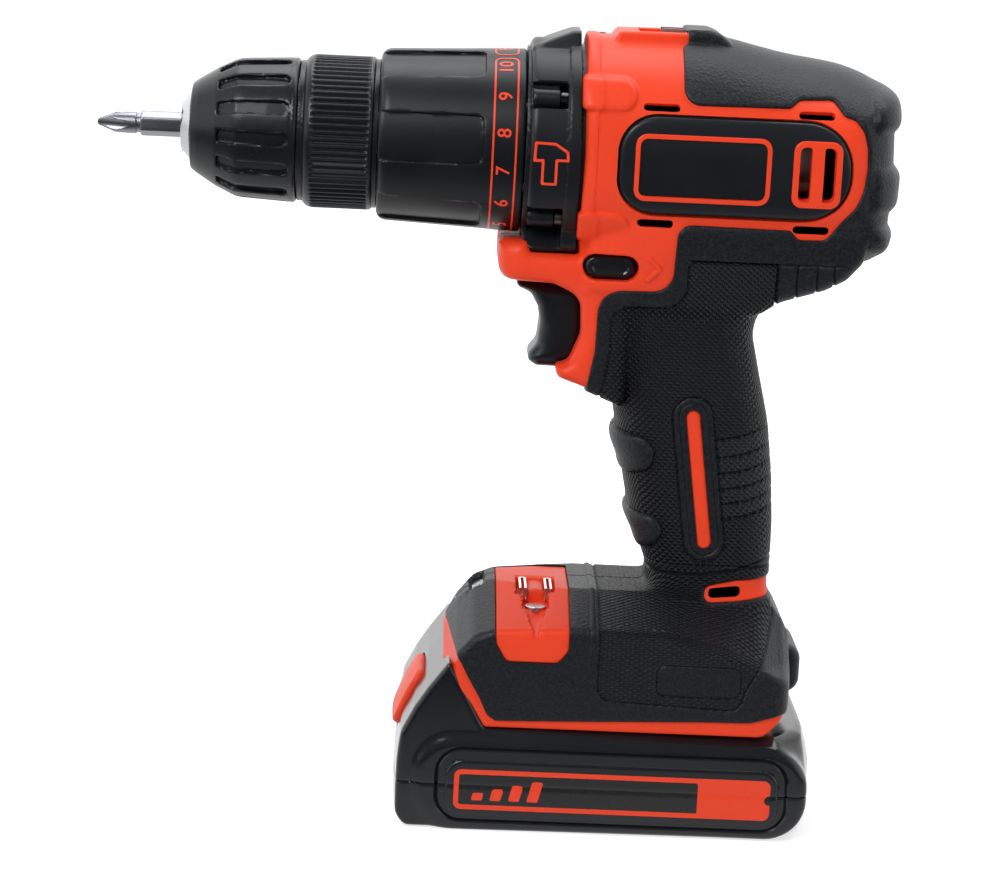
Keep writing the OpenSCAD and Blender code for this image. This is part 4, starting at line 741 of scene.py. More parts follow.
def rubber(name, base, rough):
    """Soft overmould: stipple all over, and a diamond knurl where the mesh says so, bumped and also painted
    darker in its grooves as painted shade and lighter on its diamond tops as painted highlight.
    """
    n = Nodes(name, IOR=1.5, Specular_IOR_Level=0.28)
    stipple = n.noise(1500, 2)
    cells = n.add("ShaderNodeTexVoronoi", {"Vector": n.place, "Scale": 1150.0}).outputs["Distance"]
    diamonds = n.sum(n.wave(n.attribute("weave_a")), n.wave(n.attribute("weave_b")), "MULTIPLY")
    peaks = n.sum(diamonds, 0.5, "POWER")
    on = n.attribute("knurl")
    off = n.sum(1.0, on, "SUBTRACT")
    grain = n.span(stipple, 0.35, 0.65, 0, 1)
    # Off the knurl the colour follows the stipple's random tone; on the knurl it is painted shade in the
    # grooves and painted highlight on the diamond tops.
    shown = n.sum(n.sum(grain, off, "MULTIPLY"), n.sum(n.span(peaks, 0.15, 0.85, 0, 1), on, "MULTIPLY"))
    n.color(n.mix(shown, rgb(*(c * 0.6 for c in base)), rgb(*(c * 1.5 for c in base))))
    n.rough(n.span(stipple, 0.3, 0.7, rough - 0.06, rough + 0.08))
    pebble = n.sum(n.sum(cells, off, "MULTIPLY"), 0.1, "MULTIPLY")
    height = n.sum(pebble, n.sum(n.sum(peaks, on, "MULTIPLY"), 1.1, "MULTIPLY"))
    n.bump(height, 0.001)
    return n.mat


def metal(name, base, rough, along=None, scratch=0.1, grain=0.000006):
    """Machined metal with fine lines along one direction, or an even satin."""
    n = Nodes(name, Metallic=1.0)
    fine = n.noise(900, 3, along) if along else n.noise(2200, 2)
    cloud = n.noise(70, 3)
    both = n.sum(fine, cloud)
    n.color(n.mix(n.span(both, 0.6, 1.4, 0, 1), rgb(*(c * 0.8 for c in base)), rgb(*base)))
    n.rough(n.span(both, 0.6, 1.4, rough - scratch / 2, rough + scratch / 2))
    n.bump(fine, grain)
    return n.mat


ORANGE = (0.98, 0.06, 0.014)
BLACK = (0.0068, 0.0088, 0.0122)
M = {
    "orange": plastic("orange nylon", ORANGE, 0.42, speck=0.07, Specular_IOR_Level=0.32),
    "orange_frame": plastic("orange frame", ORANGE, 0.36, speck=0.05, Specular_IOR_Level=0.36),
    "rubber": rubber("soft overmould", (0.0105, 0.0128, 0.0165), 0.44),
    "black_plastic": plastic("black nylon", BLACK, 0.36, speck=0.25, Specular_IOR_Level=0.34),
    "plate": plastic("flank plate", (0.0092, 0.0118, 0.016), 0.34, 0.000012, speck=0.2,
                     Specular_IOR_Level=0.32),
    "gloss_black": plastic("glossy black", (0.009, 0.010, 0.013), 0.13, 0.000002, 900, 0.15),
    "steel": metal("satin steel", (0.6, 0.61, 0.63), 0.3),
    "chrome": metal("bright steel", (0.74, 0.75, 0.76), 0.16, grain=0.000002),
    "dark_steel": metal("blackened steel", (0.16, 0.16, 0.165), 0.36),
    "zinc": metal("zinc plate", (0.55, 0.56, 0.55), 0.38),
    "bronze": metal("sintered bronze", (0.62, 0.4, 0.2), 0.5, grain=0.00002),
    "brass": metal("brass strip", (0.8, 0.58, 0.25), 0.3),
    "copper": metal("enamelled copper", (0.6, 0.24, 0.1), 0.4),
    "carbon": plastic("pressed carbon", (0.03, 0.03, 0.03), 0.6),
    "wire": plastic("wire insulation", (0.5, 0.02, 0.015), 0.4),
    "cell": plastic("shrink sleeve", (0.03, 0.16, 0.08), 0.25, 0.000003, 700),
    "lens": plastic("clear lens", (0.9, 0.92, 0.95), 0.08, 0.000001, 500, 0.01, Transmission_Weight=0.9),
    "black_satin": plastic("satin black", BLACK, 0.31, 0.00001, 1800, 0.2, Specular_IOR_Level=0.38),
    "label_black": plastic("printed black", (0.012, 0.012, 0.014), 0.28, 0.000002, 800, 0.1),
    "orange_print": plastic("orange print", ORANGE, 0.35, 0.000002, 900, 0.04),
    "bit_steel": metal("phosphated steel", (0.3, 0.31, 0.34), 0.34, scratch=0.14, grain=0.00001),
}
SLOT_MATERIAL = {
    "orange_plastic": "orange", "overmould": "rubber", "black_plastic": "black_plastic",
    "gloss_black": "gloss_black", "steel": "steel", "dark_steel": "dark_steel", "zinc_can": "zinc",
    "bronze": "bronze", "contact_brass": "brass", "copper_winding": "copper", "carbon": "carbon",
    "lens": "lens", "wire": "wire", "cell_sleeve": "cell"}


def dress_nodes():
    """Gives each CAD node the material of its slot in the record."""
    for part in frame["record"]["subparts"]:
        mesh = frame["nodes"][part["node"]].data
        mesh.materials.clear()
        mesh.materials.append(M[SLOT_MATERIAL[part["material_slot"]]])


dress_nodes()


# ---------------------------------------------------------------- regions of the body

BARE = Outline([
    (-60, 60, 0), (27.4, 60, 0), (27.4, 29.6, 0.5), (25.8, 28.4, 0.5), (25.9, 14.2, 4.5), (54.9, 14.4, 2),
    (57.6, 16.6, 2), (66.9, 16.9, 2), (70.0, 12.8, 2), (73.0, 12.0, 3), (75.4, 9.0, 5), (76.7, 4.4, 8),
    (77.0, -1, 10), (76.3, -7.1, 8), (74.4, -11.6, 6), (71.4, -15.2, 4), (69.2, -18.4, 2), (66.8, -21.2, 2),
    (59.6, -21.4, 2), (57.0, -18.9, 1.5), (26.4, -18.6, 4), (25.9, -38, 5.5), (5.9, -38.4, 7),
    (5.6, -56, 0), (3.8, -66.3, 0), (1.5, -76, 0), (-60, -76, 0)], margin=60)
TRIM = Outline([
    (-66, -6, 0), (62, -6, 0), (62, 3.2, 0), (47.0, 7.0, 0), (44, 6.2, 3), (38, 4.4, 6), (23.8, 4.1, 0),
    (-15.3, 2.7, 0), (-33.6, 2.2, 1.5), (-36.0, 3.9, 2), (-38.2, 8.6, 0), (-41.7, 14.6, 0),
    (-44.7, 20.4, 0.6), (-47.2, 22.5, 0), (-66, 24, 0)], margin=40)
PILL = Outline([(9.2, -15.8, 10), (72.3, -15.8, 12.5), (72.3, 11, 12.5), (9.2, 11, 10)], margin=30)
BADGE = Outline([(13.2, -12, 3.2), (50.4, -12, 3.2), (50.4, 6.3, 3.2), (13.2, 6.3, 3.2)], margin=30)
LOUVRE = Outline([(56.3, -12, 3), (69.7, -12, 3), (69.7, 6.2, 3), (56.3, 6.2, 3)], margin=30)
WINDOWS = [Outline([(58, -10.3, 1.6), (61.3, -10.3, 0.5), (61.3, 4.5, 0.5), (58, 4.5, 1.6)]),
           Outline([(64.7, -10.3, 0.5), (68, -10.3, 1.6), (68, 4.5, 1.6), (64.7, 4.5, 0.5)])]
KNURL_TOP = Outline([
    (54.7, -28.6, 0.5), (30.1, -28.6, 1.5), (30.1, -42.2, 6.5), (9.4, -43.2, 5), (9.7, -56, 10),
    (7.6, -70, 0), (-2, -82, 0), (-60, -84, 0), (-60, -200, 0), (130, -200, 0), (130, -52, 0),
    (54.7, -42, 0)], margin=40)
KNURL_FOOT = Outline([
    (-5.6, 45, 0), (-5.6, 9.2, 4.2), (34.4, 7.6, 5), (36.2, 14, 4), (40.6, 22, 3), (43.6, 30, 3),
    (43.4, 45, 0)], margin=40)
PLAQUE = Outline([(11.1, 11.3, 2.4), (34.5, 11.3, 2.4), (34.5, 20, 2.4), (11.1, 20, 2.4)], margin=20)
STRIP_MID, STRIP_LEAN = (20.9, 99.6), math.radians(8.2)
STRIP_HALF = (2.05, 20)  # half width and half length of the orange strip in the grip
STRIP_BED = (4.0, 21.9)
STRIP_RIM = (5.7, 23.6)
SMOOTH_RIM = (6.2, 23.6)  # no knurl inside this
PADS = [Outline([(-14, 116, 0), (-1.4, 111.6, 3), (5.5, 111.2, 4), (8.3, 107, 4), (7.4, 101.4, 4),
                 (0.4, 99.6, 4), (-14, 103, 0)]),
        Outline([(-12, 93.5, 0), (2.1, 89, 3), (9.3, 88.7, 4), (12.2, 84.4, 4), (9.8, 79.6, 4),
                 (5.8, 78, 4), (-12, 80, 0)])]
RIBS = [((24.9, 111.0), (31.5, 112.1), (37, 113.9), (41.5, 116.2)),
        ((25.7, 105.9), (32.2, 107), (37.7, 108.8), (42.5, 111.2)),
        ((26.3, 101.3), (32.8, 102.4), (38.3, 104.2), (43, 106.6)),
        ((26.9, 96.8), (33.3, 97.9), (38.8, 99.7), (43.5, 102.1)),
        ((27.5, 92.6), (33.8, 93.7), (39.2, 95.5), (43.8, 97.9)),
        ((27.9, 88.5), (34.2, 89.6), (39.5, 91.4), (44, 93.8))]
RIB_FIELD = Outline([(24.9, 111.2, 0), (31.5, 112.3, 0), (37, 114.1, 0), (48, 119.5, 0), (50, 97, 0),
                     (39.5, 91.2, 0), (34.2, 89.4, 0), (27.9, 88.3, 0)], margin=40)
CUFF = ((-4, 72.6), (9.7, 72.5), (23.1, 72.4), (33, 74.2), (41, 77), (47, 79.6))
VENT_BAND = Outline([(24.3, 64.2, 2.3), (33, 64.9, 0), (45, 66.6, 0), (45, 71.9, 0), (33, 71, 0),
                     (24.3, 68.9, 2.3)], margin=20)
VENT_HOLE = Outline([(25.5, 65.5, 1.2), (34.6, 66.4, 1.2), (34.6, 69.6, 1.2), (25.5, 68.3, 1.2)])
INSERT = Outline([(-34.6, 80, 0), (-34.4, 54.6, 3), (-31.2, 49.3, 2.5), (-16.6, 49.3, 2.5), (-13.8, 53, 2.5),
                  (-13.6, 80, 0)], margin=40)
SHOULDER_W = -28.6  # height of the groove under the barrel
TANG_LINES = (54.7, 60.2, 65.7, 70.3)  # upright grooves behind the grip's web
CHEVRON = ((3.2, 162.3), (6.2, 159.5), (3.1, 156.2))


WEAVE_PITCH = 1.8  # from diamond to diamond, in millimetres


def strip_distance(half_wide, half_long):
    """A measure that is negative inside a slot round the grip strip's middle."""
    def measure(p):
        a, b = turned_by(p[:, 0] - STRIP_MID[0], p[:, 2] - STRIP_MID[1], STRIP_LEAN)
        return stadium(b, a, half_long, half_wide)
    return measure


def bare_zone(p):
    """Negative where hard orange plastic shows."""
    return np.minimum(side_view(BARE)(p), foot_view(TRIM)(p))


def around_grip(p):
    """Lengths round the grip and up it."""
    off = p[:, 0] - GRIP_X + (p[:, 2] - GRIP_Z) * math.tan(GRIP_LEAN)
    return off + np.clip(off / 6, -1, 1) * np.maximum(14.5 - p[:, 1], 0), p[:, 2]


def over_foot(p):
    """Lengths along the foot and over it, from its side up the slope to its flat top."""
    y, h = p[:, 1], p[:, 2] - BASE
    climb = np.interp(-y, [-FOOT_HALF, -FOOT_FLAT, 0], [0, 21.5, 36.6])
    return p[:, 0], climb + np.where(y > 33, h - 28.4, 0) + np.maximum(h - 35.3, 0)


def weave(obj, inner):
    """Gives a rubber piece the phases of its diamond pattern, and where the pattern is; the material reads
    them for the knurl's bump and for its painted groove shade and painted tip highlight.
    """
    n = len(obj.data.vertices)
    p = np.empty(n * 3, np.float32)
    obj.data.vertices.foreach_get("co", p)
    p = p.reshape(-1, 3).astype(float) / MM
    p[:, 1] = np.abs(p[:, 1])
    gx, gz = around_grip(p)
    fx, fz = over_foot(p)
    low = open_line(CUFF)(p[:, 0], p[:, 2]) < 0
    a = np.where(low, fx * 0.7, gx)
    b = np.where(low, fz * 1.25, gz)
    mark_points(obj, "weave_a", (a + b) / WEAVE_PITCH)
    mark_points(obj, "weave_b", (a - b) / WEAVE_PITCH)
    mark_points(obj, "knurl", np.clip(0.5 - inner(p) / 0.5, 0, 1))


def gear_mouth(p):
    """Negative on the wall that the gear housing covers, which is left open for the gears."""
    return np.maximum(np.hypot(p[:, 1], p[:, 2] - AXIS) - 21.5, p[:, 0] + 14)


def knurl_zone(p):
    """Negative where the rubber is knurled."""
    x, z = p[:, 0], p[:, 2]
    cuff = open_line(CUFF)(x, z)
    grip = np.maximum(side_view(KNURL_TOP)(p), 1.0 - cuff)
    for pad in PADS:
        grip = np.maximum(grip, -pad(x, z))
    grip = np.maximum(grip, -strip_distance(*SMOOTH_RIM)(p))
    grip = np.maximum(grip, -np.maximum(np.maximum(RIB_FIELD(x, z), 24.5 - x), 0))
    foot = np.maximum(foot_view(KNURL_FOOT)(p), cuff)
    foot = np.maximum(foot, -np.maximum(foot_view(PLAQUE)(p) - 0.4, 24 - p[:, 1]))
    foot = np.maximum(foot, -xz_view(VENT_BAND)(p) + 0.8)
    return np.minimum(grip, foot)


# the fine groove where the two halves meet
PARTING = Mark(lambda p: p[:, 1], (0.4,), lambda d: -0.3 * np.clip(1 - d / 0.4, 0, 1))


def rubber_marks():
    """The raised edges, pads, seams and grooves of the soft skin."""
    marks = [raised(lambda p: -bare_zone(p), 0.45, 0.9)]
    marks.append(groove(side_view(KNURL_TOP), 0.55, 0.5))
    for u in TANG_LINES:
        line = open_line([(u, SHOULDER_W), (u, -41.5 + (u - TANG_LINES[0]) * 0.35)])
        marks.append(groove(side_view(line), 0.5, 0.5))
    marks.append(groove(side_view(open_line([(30, SHOULDER_W), (60, SHOULDER_W), (74, -28.2)])), 0.6, 0.5))
    marks.append(groove(xz_view(open_line(CUFF)), 0.6, 0.7))
    marks.append(groove(strip_distance(*STRIP_RIM), 0.6, 0.55))
    marks.append(groove(strip_distance(*STRIP_BED), 0.35, 0.3))
    for rib in RIBS:
        marks.append(groove(xz_view(open_line(rib)), 0.65, 0.65))
    for pad in PADS:
        zone = only(xz_view(pad), lambda p: p[:, 0] - 14)
        marks.append(raised(zone, 1.1, 2.2))
        marks.append(groove(zone, 0.4, 0.35))
    marks.append(groove(foot_view(KNURL_FOOT), 0.5, 0.45))
    seam = open_line([(-7.3, 45), (-7.5, 24)])
    marks.append(bead(foot_view(seam), 0.8, 0.45))
    marks.append(groove(only(foot_view(PLAQUE), lambda p: 30 - p[:, 1]), 0.4, 0.35))
    marks.append(raised(lambda p: -(xz_view(VENT_BAND)(p)), 0.45, 0.9))
    marks.append(PARTING)
    return marks


def body_half(side):
    """Everything that makes up one half of the shells: plate, frames, inlays, hard and soft skin."""
    tag = "left" if side < 0 else "right"
    field = lambda p: body_field(p, side)
    sk = surface(field, (-66, -1.3, 28.4), (79, 38, 230), STEP)
    sk.peel(lambda p: p[:, 1])
    flank = lambda p: 22 - p[:, 1]
    # what is open: the vent slots and windows, the selector's hole and the light's window
    for u, w in SLOTS:
        sk.peel(only(side_view(lambda a, b: stadium(a - u, b - w, SLOT_HALF, SLOT_R)), flank))
    for window in WINDOWS:
        sk.peel(only(side_view(window), flank))
    sk.peel(lambda p: np.maximum(stadium(p[:, 0] - FRONT - SELECTOR[0], p[:, 2] - AXIS - SELECTOR[1],
                                         SELECTOR[2] + 0.4, SELECTOR[3] + 0.4), p[:, 1] - 13.7))
    sk.peel(only(xz_view(VENT_HOLE), lambda p: 12 - p[:, 1]))
    # the flank plate with its two frames
    ring = sk.peel(only(side_view(lambda a, b: PILL(a, b) - 0.75), flank))
    plate = ring.peel(side_view(PILL))
    badge = plate.peel(side_view(BADGE))
    louvre = plate.peel(side_view(LOUVRE))
    field_piece = badge.peel(side_view(lambda a, b: BADGE(a, b) + 1.3))
    shell(f"plate_gap_{tag}", ring, field, [], M["black_plastic"], side, 1.4, -1.1)
    shell(f"side_plate_{tag}", plate, field, [raised(side_view(PILL), 0.7, 1.6)],
          M["plate"], side, 1.4, -0.15)
    shell(f"badge_frame_{tag}", badge, field, [raised(side_view(BADGE), 0.25, 0.35)],
          M["orange_frame"], side, 1.4, 0.5)
    shell(f"badge_field_{tag}", field_piece, field, [], M["gloss_black"], side, 1.4, 0.1)
    shell(f"louvre_frame_{tag}", louvre, field, [raised(side_view(LOUVRE), 0.35, 0.5)],
          M["orange_frame"], side, 2.2, 0.55)
    # inlays
    inlay = strip_distance(*STRIP_HALF)
    strip = sk.peel(only(inlay, lambda p: 6 - p[:, 1]))
    shell(f"grip_strip_{tag}", strip, field, [raised(inlay, 0.35, 0.7)],
          M["orange"], side, 1.4, 0.1)
    band = sk.peel(xz_view(VENT_BAND))
    shell(f"vent_band_{tag}", band, field, [raised(xz_view(VENT_BAND), 0.3, 0.6)], M["orange"], side,
          1.8, 0.05)
    reach = xz_view(INSERT) if side < 0 else only(xz_view(INSERT), lambda p: p[:, 1] - 12)
    insert = sk.peel(reach)
    shell("bit_holder" if side < 0 else "bit_holder_back", insert, field, [raised(reach, 0.4, 0.6)],
          M["orange"], side, 1.6, 0.0)
    sk.peel(gear_mouth)
    bare = sk.peel(bare_zone)
    arrow = xz_view(lambda a, b: np.abs(open_line(CHEVRON)(a, b)) - 0.75)
    shell(f"orange_shell_{tag}", bare, field, [PARTING, raised(only(arrow, lambda p: 8 - p[:, 1]), 0.6, 0.5)],
          M["orange"], side, 1.6)
    skin = shell(f"rubber_skin_{tag}", sk, field, rubber_marks(), M["rubber"], side, 1.6)
    weave(skin, knurl_zone)
    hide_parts(f"housing_{tag}", f"overmould_{tag}", "side_panels", "vent_louvres", "grip_strips",
                "foot_insert")


for half in (-1, 1):
    body_half(half)


# ---------------------------------------------------------------- solids round the spindle axis


def polar(p):
    """x, the radius from the spindle axis, and the angle above the horizontal on the user's left."""
    w = p[:, 2] - AXIS
    return p[:, 0], np.hypot(p[:, 1], w), np.arctan2(w, -p[:, 1])


def every(theta, first, count):
    """The angle from the nearest of count equally spaced directions, in radians."""
    pitch = 2 * math.pi / count
    return np.mod(theta - math.radians(first) + pitch / 2, pitch) - pitch / 2


def solid(name, field, low, high, material, body="root", step=None, marks=(), crease=38):
    """A closed piece from a field, with its marks pressed in."""
    sk = surface(field, low, high, (step or STEP) * (1.3 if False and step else 1))
    if marks:
        carve(sk, marks)
        height = sum(m.lift(sk.v) for m in marks)
        sk.v = sk.v + outward(field, sk.v) * height[:, None]
    return make(name, sk, material, body, 1, crease), sk


def patch(sk, measure, field, lift, deep=0.5, guides=()):
    """A closed thin inlay over the part of a skin where measure is negative. guides are marks that
    cut the skin along thin lines first."""
    sk = Skin(sk.v.copy(), sk.t.copy())
    carve(sk, guides)
    d = sk.split(measure(sk.v), snap=0.02)
    piece = sk.part(d[sk.t].mean(axis=1) < 0)
    n = outward(field, piece.v)
    return piece.thick(piece.v + n * lift, piece.v - n * deep)


def stroke_guides(place, paths, half):
    """Marks that cut along both sides and the middle of open lines, on coordinates from place(points)."""
    return [Mark(lambda p, line=open_line(path): line(*place(p)), (-half, 0, half), None) for path in paths]


# dial

COLLAR_X = (-73.0, -32.6)
COLLAR_R = (23.9, 25.6)  # radii at those two ends
COLLAR_BORE = 21.2
SCOOPS, SCOOP_HALF, SCOOP_END, SCOOP_DEEP = 6, 6.8, -44.0, 1.0


def collar_field(p):
    """The dial: a cone with scooped finger holds."""
    x, r, theta = polar(p)
    radius = np.interp(x, COLLAR_X, COLLAR_R)
    value = smax(r - radius, COLLAR_X[0] - x, 3.2)
    value = smax(value, x - COLLAR_X[1], 0.8)
    arc = np.abs(every(theta, 4.5, SCOOPS)) * r
    scoop = smax(smax(arc - SCOOP_HALF, x - SCOOP_END, 2.5), radius - SCOOP_DEEP - r, 0.3)
    value = smax(value, -scoop, 0.45)
    return smax(value, COLLAR_BORE - r, 0.4)


DIAL_HAMMER = [[(-1.9, 1.0), (-1.9, 3.1), (0.6, 3.1), (1.8, 2.0)], [(-0.6, 3.0), (-0.6, -2.6)]]
DIAL_DRILL = [[(-1.6, -2.4), (1.6, -1.5)], [(-1.6, -1.0), (1.6, -0.1)], [(-1.6, 0.4), (1.6, 1.3)],
              [(-1.6, 1.8), (0, 3.0), (1.6, 2.7)]]
LOOPS = ((-169.5, 67), (72.5, 183.5))  # the printed loops, from degree to degree
LOOP_X = (-41.3, -35.0)
LOOP_MID = sum(LOOP_X) / 2
NUMBERS = 10
NUMBER_TOP, NUMBER_PITCH = 57.0, 23.7
GLYPH_SIZE = 5.4
DIAL_R = 25.3  # radius of the print
ARC_MM = math.radians(DIAL_R)  # arc length of one degree there, in millimetres
LINE_HALF = 0.27


def loop_distance_on_dial(p):
    x, r, theta = polar(p)
    angle = np.degrees(theta)
    half = (LOOP_X[1] - LOOP_X[0]) / 2
    near = np.full(x.shape, 1e9)
    for low, high in LOOPS:
        centre, reach = (low + high) / 2, (high - low) / 2
        turn = np.mod(angle - centre + 180, 360) - 180
        near = np.minimum(near, box2(x - LOOP_MID, turn * ARC_MM, half, reach * ARC_MM, 1.9))
    return near


def weld(sk):
    """Joins vertices that lie at the same place."""
    key = np.round(sk.v * 1e4).astype(np.int64)
    _, first, back = np.unique(key, axis=0, return_index=True, return_inverse=True)
    sk.v, t = sk.v[first], back.reshape(-1)[sk.t]
    sk.t = t[(t[:, 0] != t[:, 1]) & (t[:, 1] != t[:, 2]) & (t[:, 2] != t[:, 0])]


def wrapped_text(name, label, angle, x, body):
    """A numeral standing on the dial, its top towards the chuck."""
    curve = bpy.data.curves.new(name, "FONT")
    curve.body, curve.size, curve.resolution_u = label, GLYPH_SIZE, 4
    curve.align_x, curve.align_y, curve.offset = "CENTER", "CENTER", 0.055
    temp = bpy.data.objects.new(name, curve)
    mesh = bpy.data.meshes.new_from_object(temp)
    bpy.data.objects.remove(temp)
    bm = bmesh.new()
    bm.from_mesh(mesh)
    bmesh.ops.triangulate(bm, faces=bm.faces[:])
    bm.verts.ensure_lookup_table()
    flat = np.array([v.co[:2] for v in bm.verts])
    tri = np.array([[v.index for v in f.verts] for f in bm.faces])
    bm.free()
    bpy.data.meshes.remove(mesh)
    sk = Skin(np.column_stack([flat, np.zeros(len(flat))]), tri)
    area = np.cross(sk.v[sk.t[:, 1]] - sk.v[sk.t[:, 0]], sk.v[sk.t[:, 2]] - sk.v[sk.t[:, 0]])[:, 2]
    sk.t = np.where((area > 0)[:, None], sk.t, sk.t[:, ::-1])
    for level in np.arange(-3.5, 3.6, 0.5):
        sk.split(sk.v[:, 0] - level, snap=0.02)
    weld(sk)

    def place(height):
        at = x - sk.v[:, 1]
        r = np.interp(at, COLLAR_X, COLLAR_R) + height
        theta = math.radians(angle) + sk.v[:, 0] / DIAL_R
        return np.column_stack([at, -r * np.cos(theta), AXIS + r * np.sin(theta)])

    return make(name, sk.thick(place(0.09), place(-0.3)), M["orange_print"], body, 1, 30)


def print_sign(name, sk, field, place, paths, half, body):
    """A thin printed pictogram made of open lines."""
    tests = [open_line(path) for path in paths]
    measure = lambda p: np.min([np.abs(t(*place(p))) for t in tests], axis=0) - half
    sign = patch(sk, measure, field, 0.07, 0.3, stroke_guides(place, paths, half))
    make(name, sign, M["orange_print"], body)


def dial():
    """The dial with its scoops, its printed loops and numbers and two signs."""
    piece, sk = solid("torque_dial", collar_field, (-75, -27, AXIS - 27), (-31, 27, AXIS + 27),
                      M["black_plastic"], "collar", 0.55)
    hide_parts("torque_collar")
    lines = patch(sk, lambda p: np.abs(loop_distance_on_dial(p)) - LINE_HALF, collar_field, 0.07, 0.3,
                  [Mark(loop_distance_on_dial, (-LINE_HALF, 0, LINE_HALF), None)])
    make("dial_lines", lines, M["orange_print"], "collar")
    for k in range(NUMBERS):
        label = str(NUMBERS - k)
        wrapped_text(f"dial_number_{label}", label, NUMBER_TOP - NUMBER_PITCH * k, LOOP_MID, "collar")
    for name, angle, paths in (("dial_hammer", 90, DIAL_HAMMER), ("dial_drill", 128, DIAL_DRILL)):
        def place(p, angle=angle):
            x, r, theta = polar(p)
            turn = np.mod(np.degrees(theta) - angle + 180, 360) - 180
            return x - LOOP_MID, -turn * ARC_MM + 100 * (r < 20)

        print_sign(name, sk, collar_field, place, paths, 0.28, "collar")


# chuck

SLEEVE_EDGE = [(-125.2, 11.9, 1.0), (-123.3, 13.3, 2), (-118, 16.6, 4), (-112.2, 19.4, 8), (-95.3, 20.3, 1.2)]
SLEEVE = Outline([(-125.2, 0, 0), *SLEEVE_EDGE, (-95.3, 0, 0)], pitch=0.25, margin=8)
SLEEVE_X, SLEEVE_R, _ = zip(*SLEEVE_EDGE)
SLEEVE_SLOTS, SLOT_HALF_ARC, SLOT_DEEP = 14, 1.8, 1.25
RIBS_ROUND, RIB_DEEP = 70, 0.75
RING_R = 21.4
HEX_HALF = 3.175  # half a quarter inch, across the bit's flats
BIT_TIP = -151.6


def sleeve_field(p):
    """The chuck's front sleeve with its long slots."""
    x, r, theta = polar(p)
    value = SLEEVE(x, r)
    edge = np.interp(x, SLEEVE_X, SLEEVE_R)
    arc = every(theta, -2.8, SLEEVE_SLOTS) * r
    slot = smax(np.hypot(arc, np.maximum(x + 99.4, 0)) - SLOT_HALF_ARC, -117.4 - x, 1)
    slot = smax(slot, np.minimum(edge - SLOT_DEEP, 18.6) - r, 0.3)
    value = smax(value, -slot, 0.5)
    line = np.hypot(x + 97.0, r - 20.4) - 0.35
    value = smax(value, -line, 0.2)
    bore = smax(r - np.maximum(edge - 2.6, 9.75), SLEEVE_X[0] - 1 - x, 0.1)
    return smax(value, -bore, 0.3)


def ring_field(p):
    """The chuck's rear ring with its fine ribs."""
    x, r, theta = polar(p)
    value = smax(r - RING_R, -94.0 - x, 3.6)
    value = smax(value, x + 74.3, 1.0)
    wave = 0.5 - 0.5 * np.cos(theta * RIBS_ROUND)
    cut = RIB_DEEP * wave ** 1.5 * np.clip((x + 91.6) / 1.0, 0, 1) * np.clip((-75.4 - x) / 0.6, 0, 1)
    value = value + cut * np.clip((r - 19) / 2, 0, 1)
    value = np.minimum(value, np.maximum(r - 19.6, np.abs(x + 94) - 1.1))
    value = np.minimum(value, np.maximum(r - 20.8, np.abs(x + 73.5) - 2.5))
    return smax(value, 17.2 - r, 0.3)


def bit_field(p):
    """The bit: a hexagon, a neck and a cross tip with four flutes."""
    x, y, w = p[:, 0], p[:, 1], p[:, 2] - AXIS
    r = np.hypot(y, w)
    across = [np.abs(y * math.cos(a) + w * math.sin(a)) for a in (0, math.pi / 3, 2 * math.pi / 3)]
    hexagon = np.max(across, axis=0) - HEX_HALF
    hexagon = smax(smax(hexagon, r - 3.56, 0.3), np.maximum(-139.5 - x, x + 101.8), 0.5)
    cone = (r - np.interp(x, [BIT_TIP, -151.2, -146.6, -140.9], [0.7, 1.15, 3.0, 3.02])) * 0.92
    shank = smax(cone, np.maximum(BIT_TIP - x, x + 140.6), 0.3)
    for k in range(4):
        a, b = turned_by(y, w, math.pi / 2 * k + math.radians(8))
        reach = 2.75 + 0.24 * (x - BIT_TIP)
        shank = smax(shank, -(np.hypot(a - reach, b) - 2.05), 0.12)
    neck = np.maximum(r - 2.65, np.maximum(-142 - x, x + 138))
    return np.minimum(np.minimum(shank, hexagon), neck)


def chuck():
    """The chuck's sleeve and ring, and the driver bit."""
    piece, _ = solid("chuck_grip", sleeve_field, (-127, -22, AXIS - 22), (-94, 22, AXIS + 22),
                     M["black_satin"], "sleeve", 0.5)
    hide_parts("chuck_sleeve")
    piece, _ = solid("chuck_ribs", ring_field, (-96, -23, AXIS - 23), (-73, 23, AXIS + 23),
                     M["black_satin"], "chuck", 0.36)
    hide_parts("chuck_ring")
    piece, _ = solid("driver_bit", bit_field, (-153, -5, AXIS - 5), (-101, 5, AXIS + 5),
                     M["bit_steel"], "bit", 0.22, crease=30)
    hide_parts("screwdriver_bit")


# gear housing

GEAR_TOP = Outline([
    (-31.5, 20, 0), (-31.3, 26.9, 0.6), (-26.4, 29.2, 6), (-20.2, 31.7, 1), (-17.2, 31.8, 1), (-16.4, 20, 0)])
HAMMER = [(-29.7, 2.4), (-24.3, 2.2), (-21.0, 0.1), (-20.8, -2.2), (-23.9, -2.2), (-23.9, -9.0),
          (-27.6, -9.0), (-27.6, -2.3), (-29.9, -2.5), (-29.7, 2.4)]
GEAR_R = 29.0
SCREWS_R = 26.0  # the gear housing's screws lie on this circle
POCKETS = ((31.8, 4.048, 2.9, 26.4), (-47, 6.578, 2.6, 25.2))  # angle, half width, boss radius, floor radius


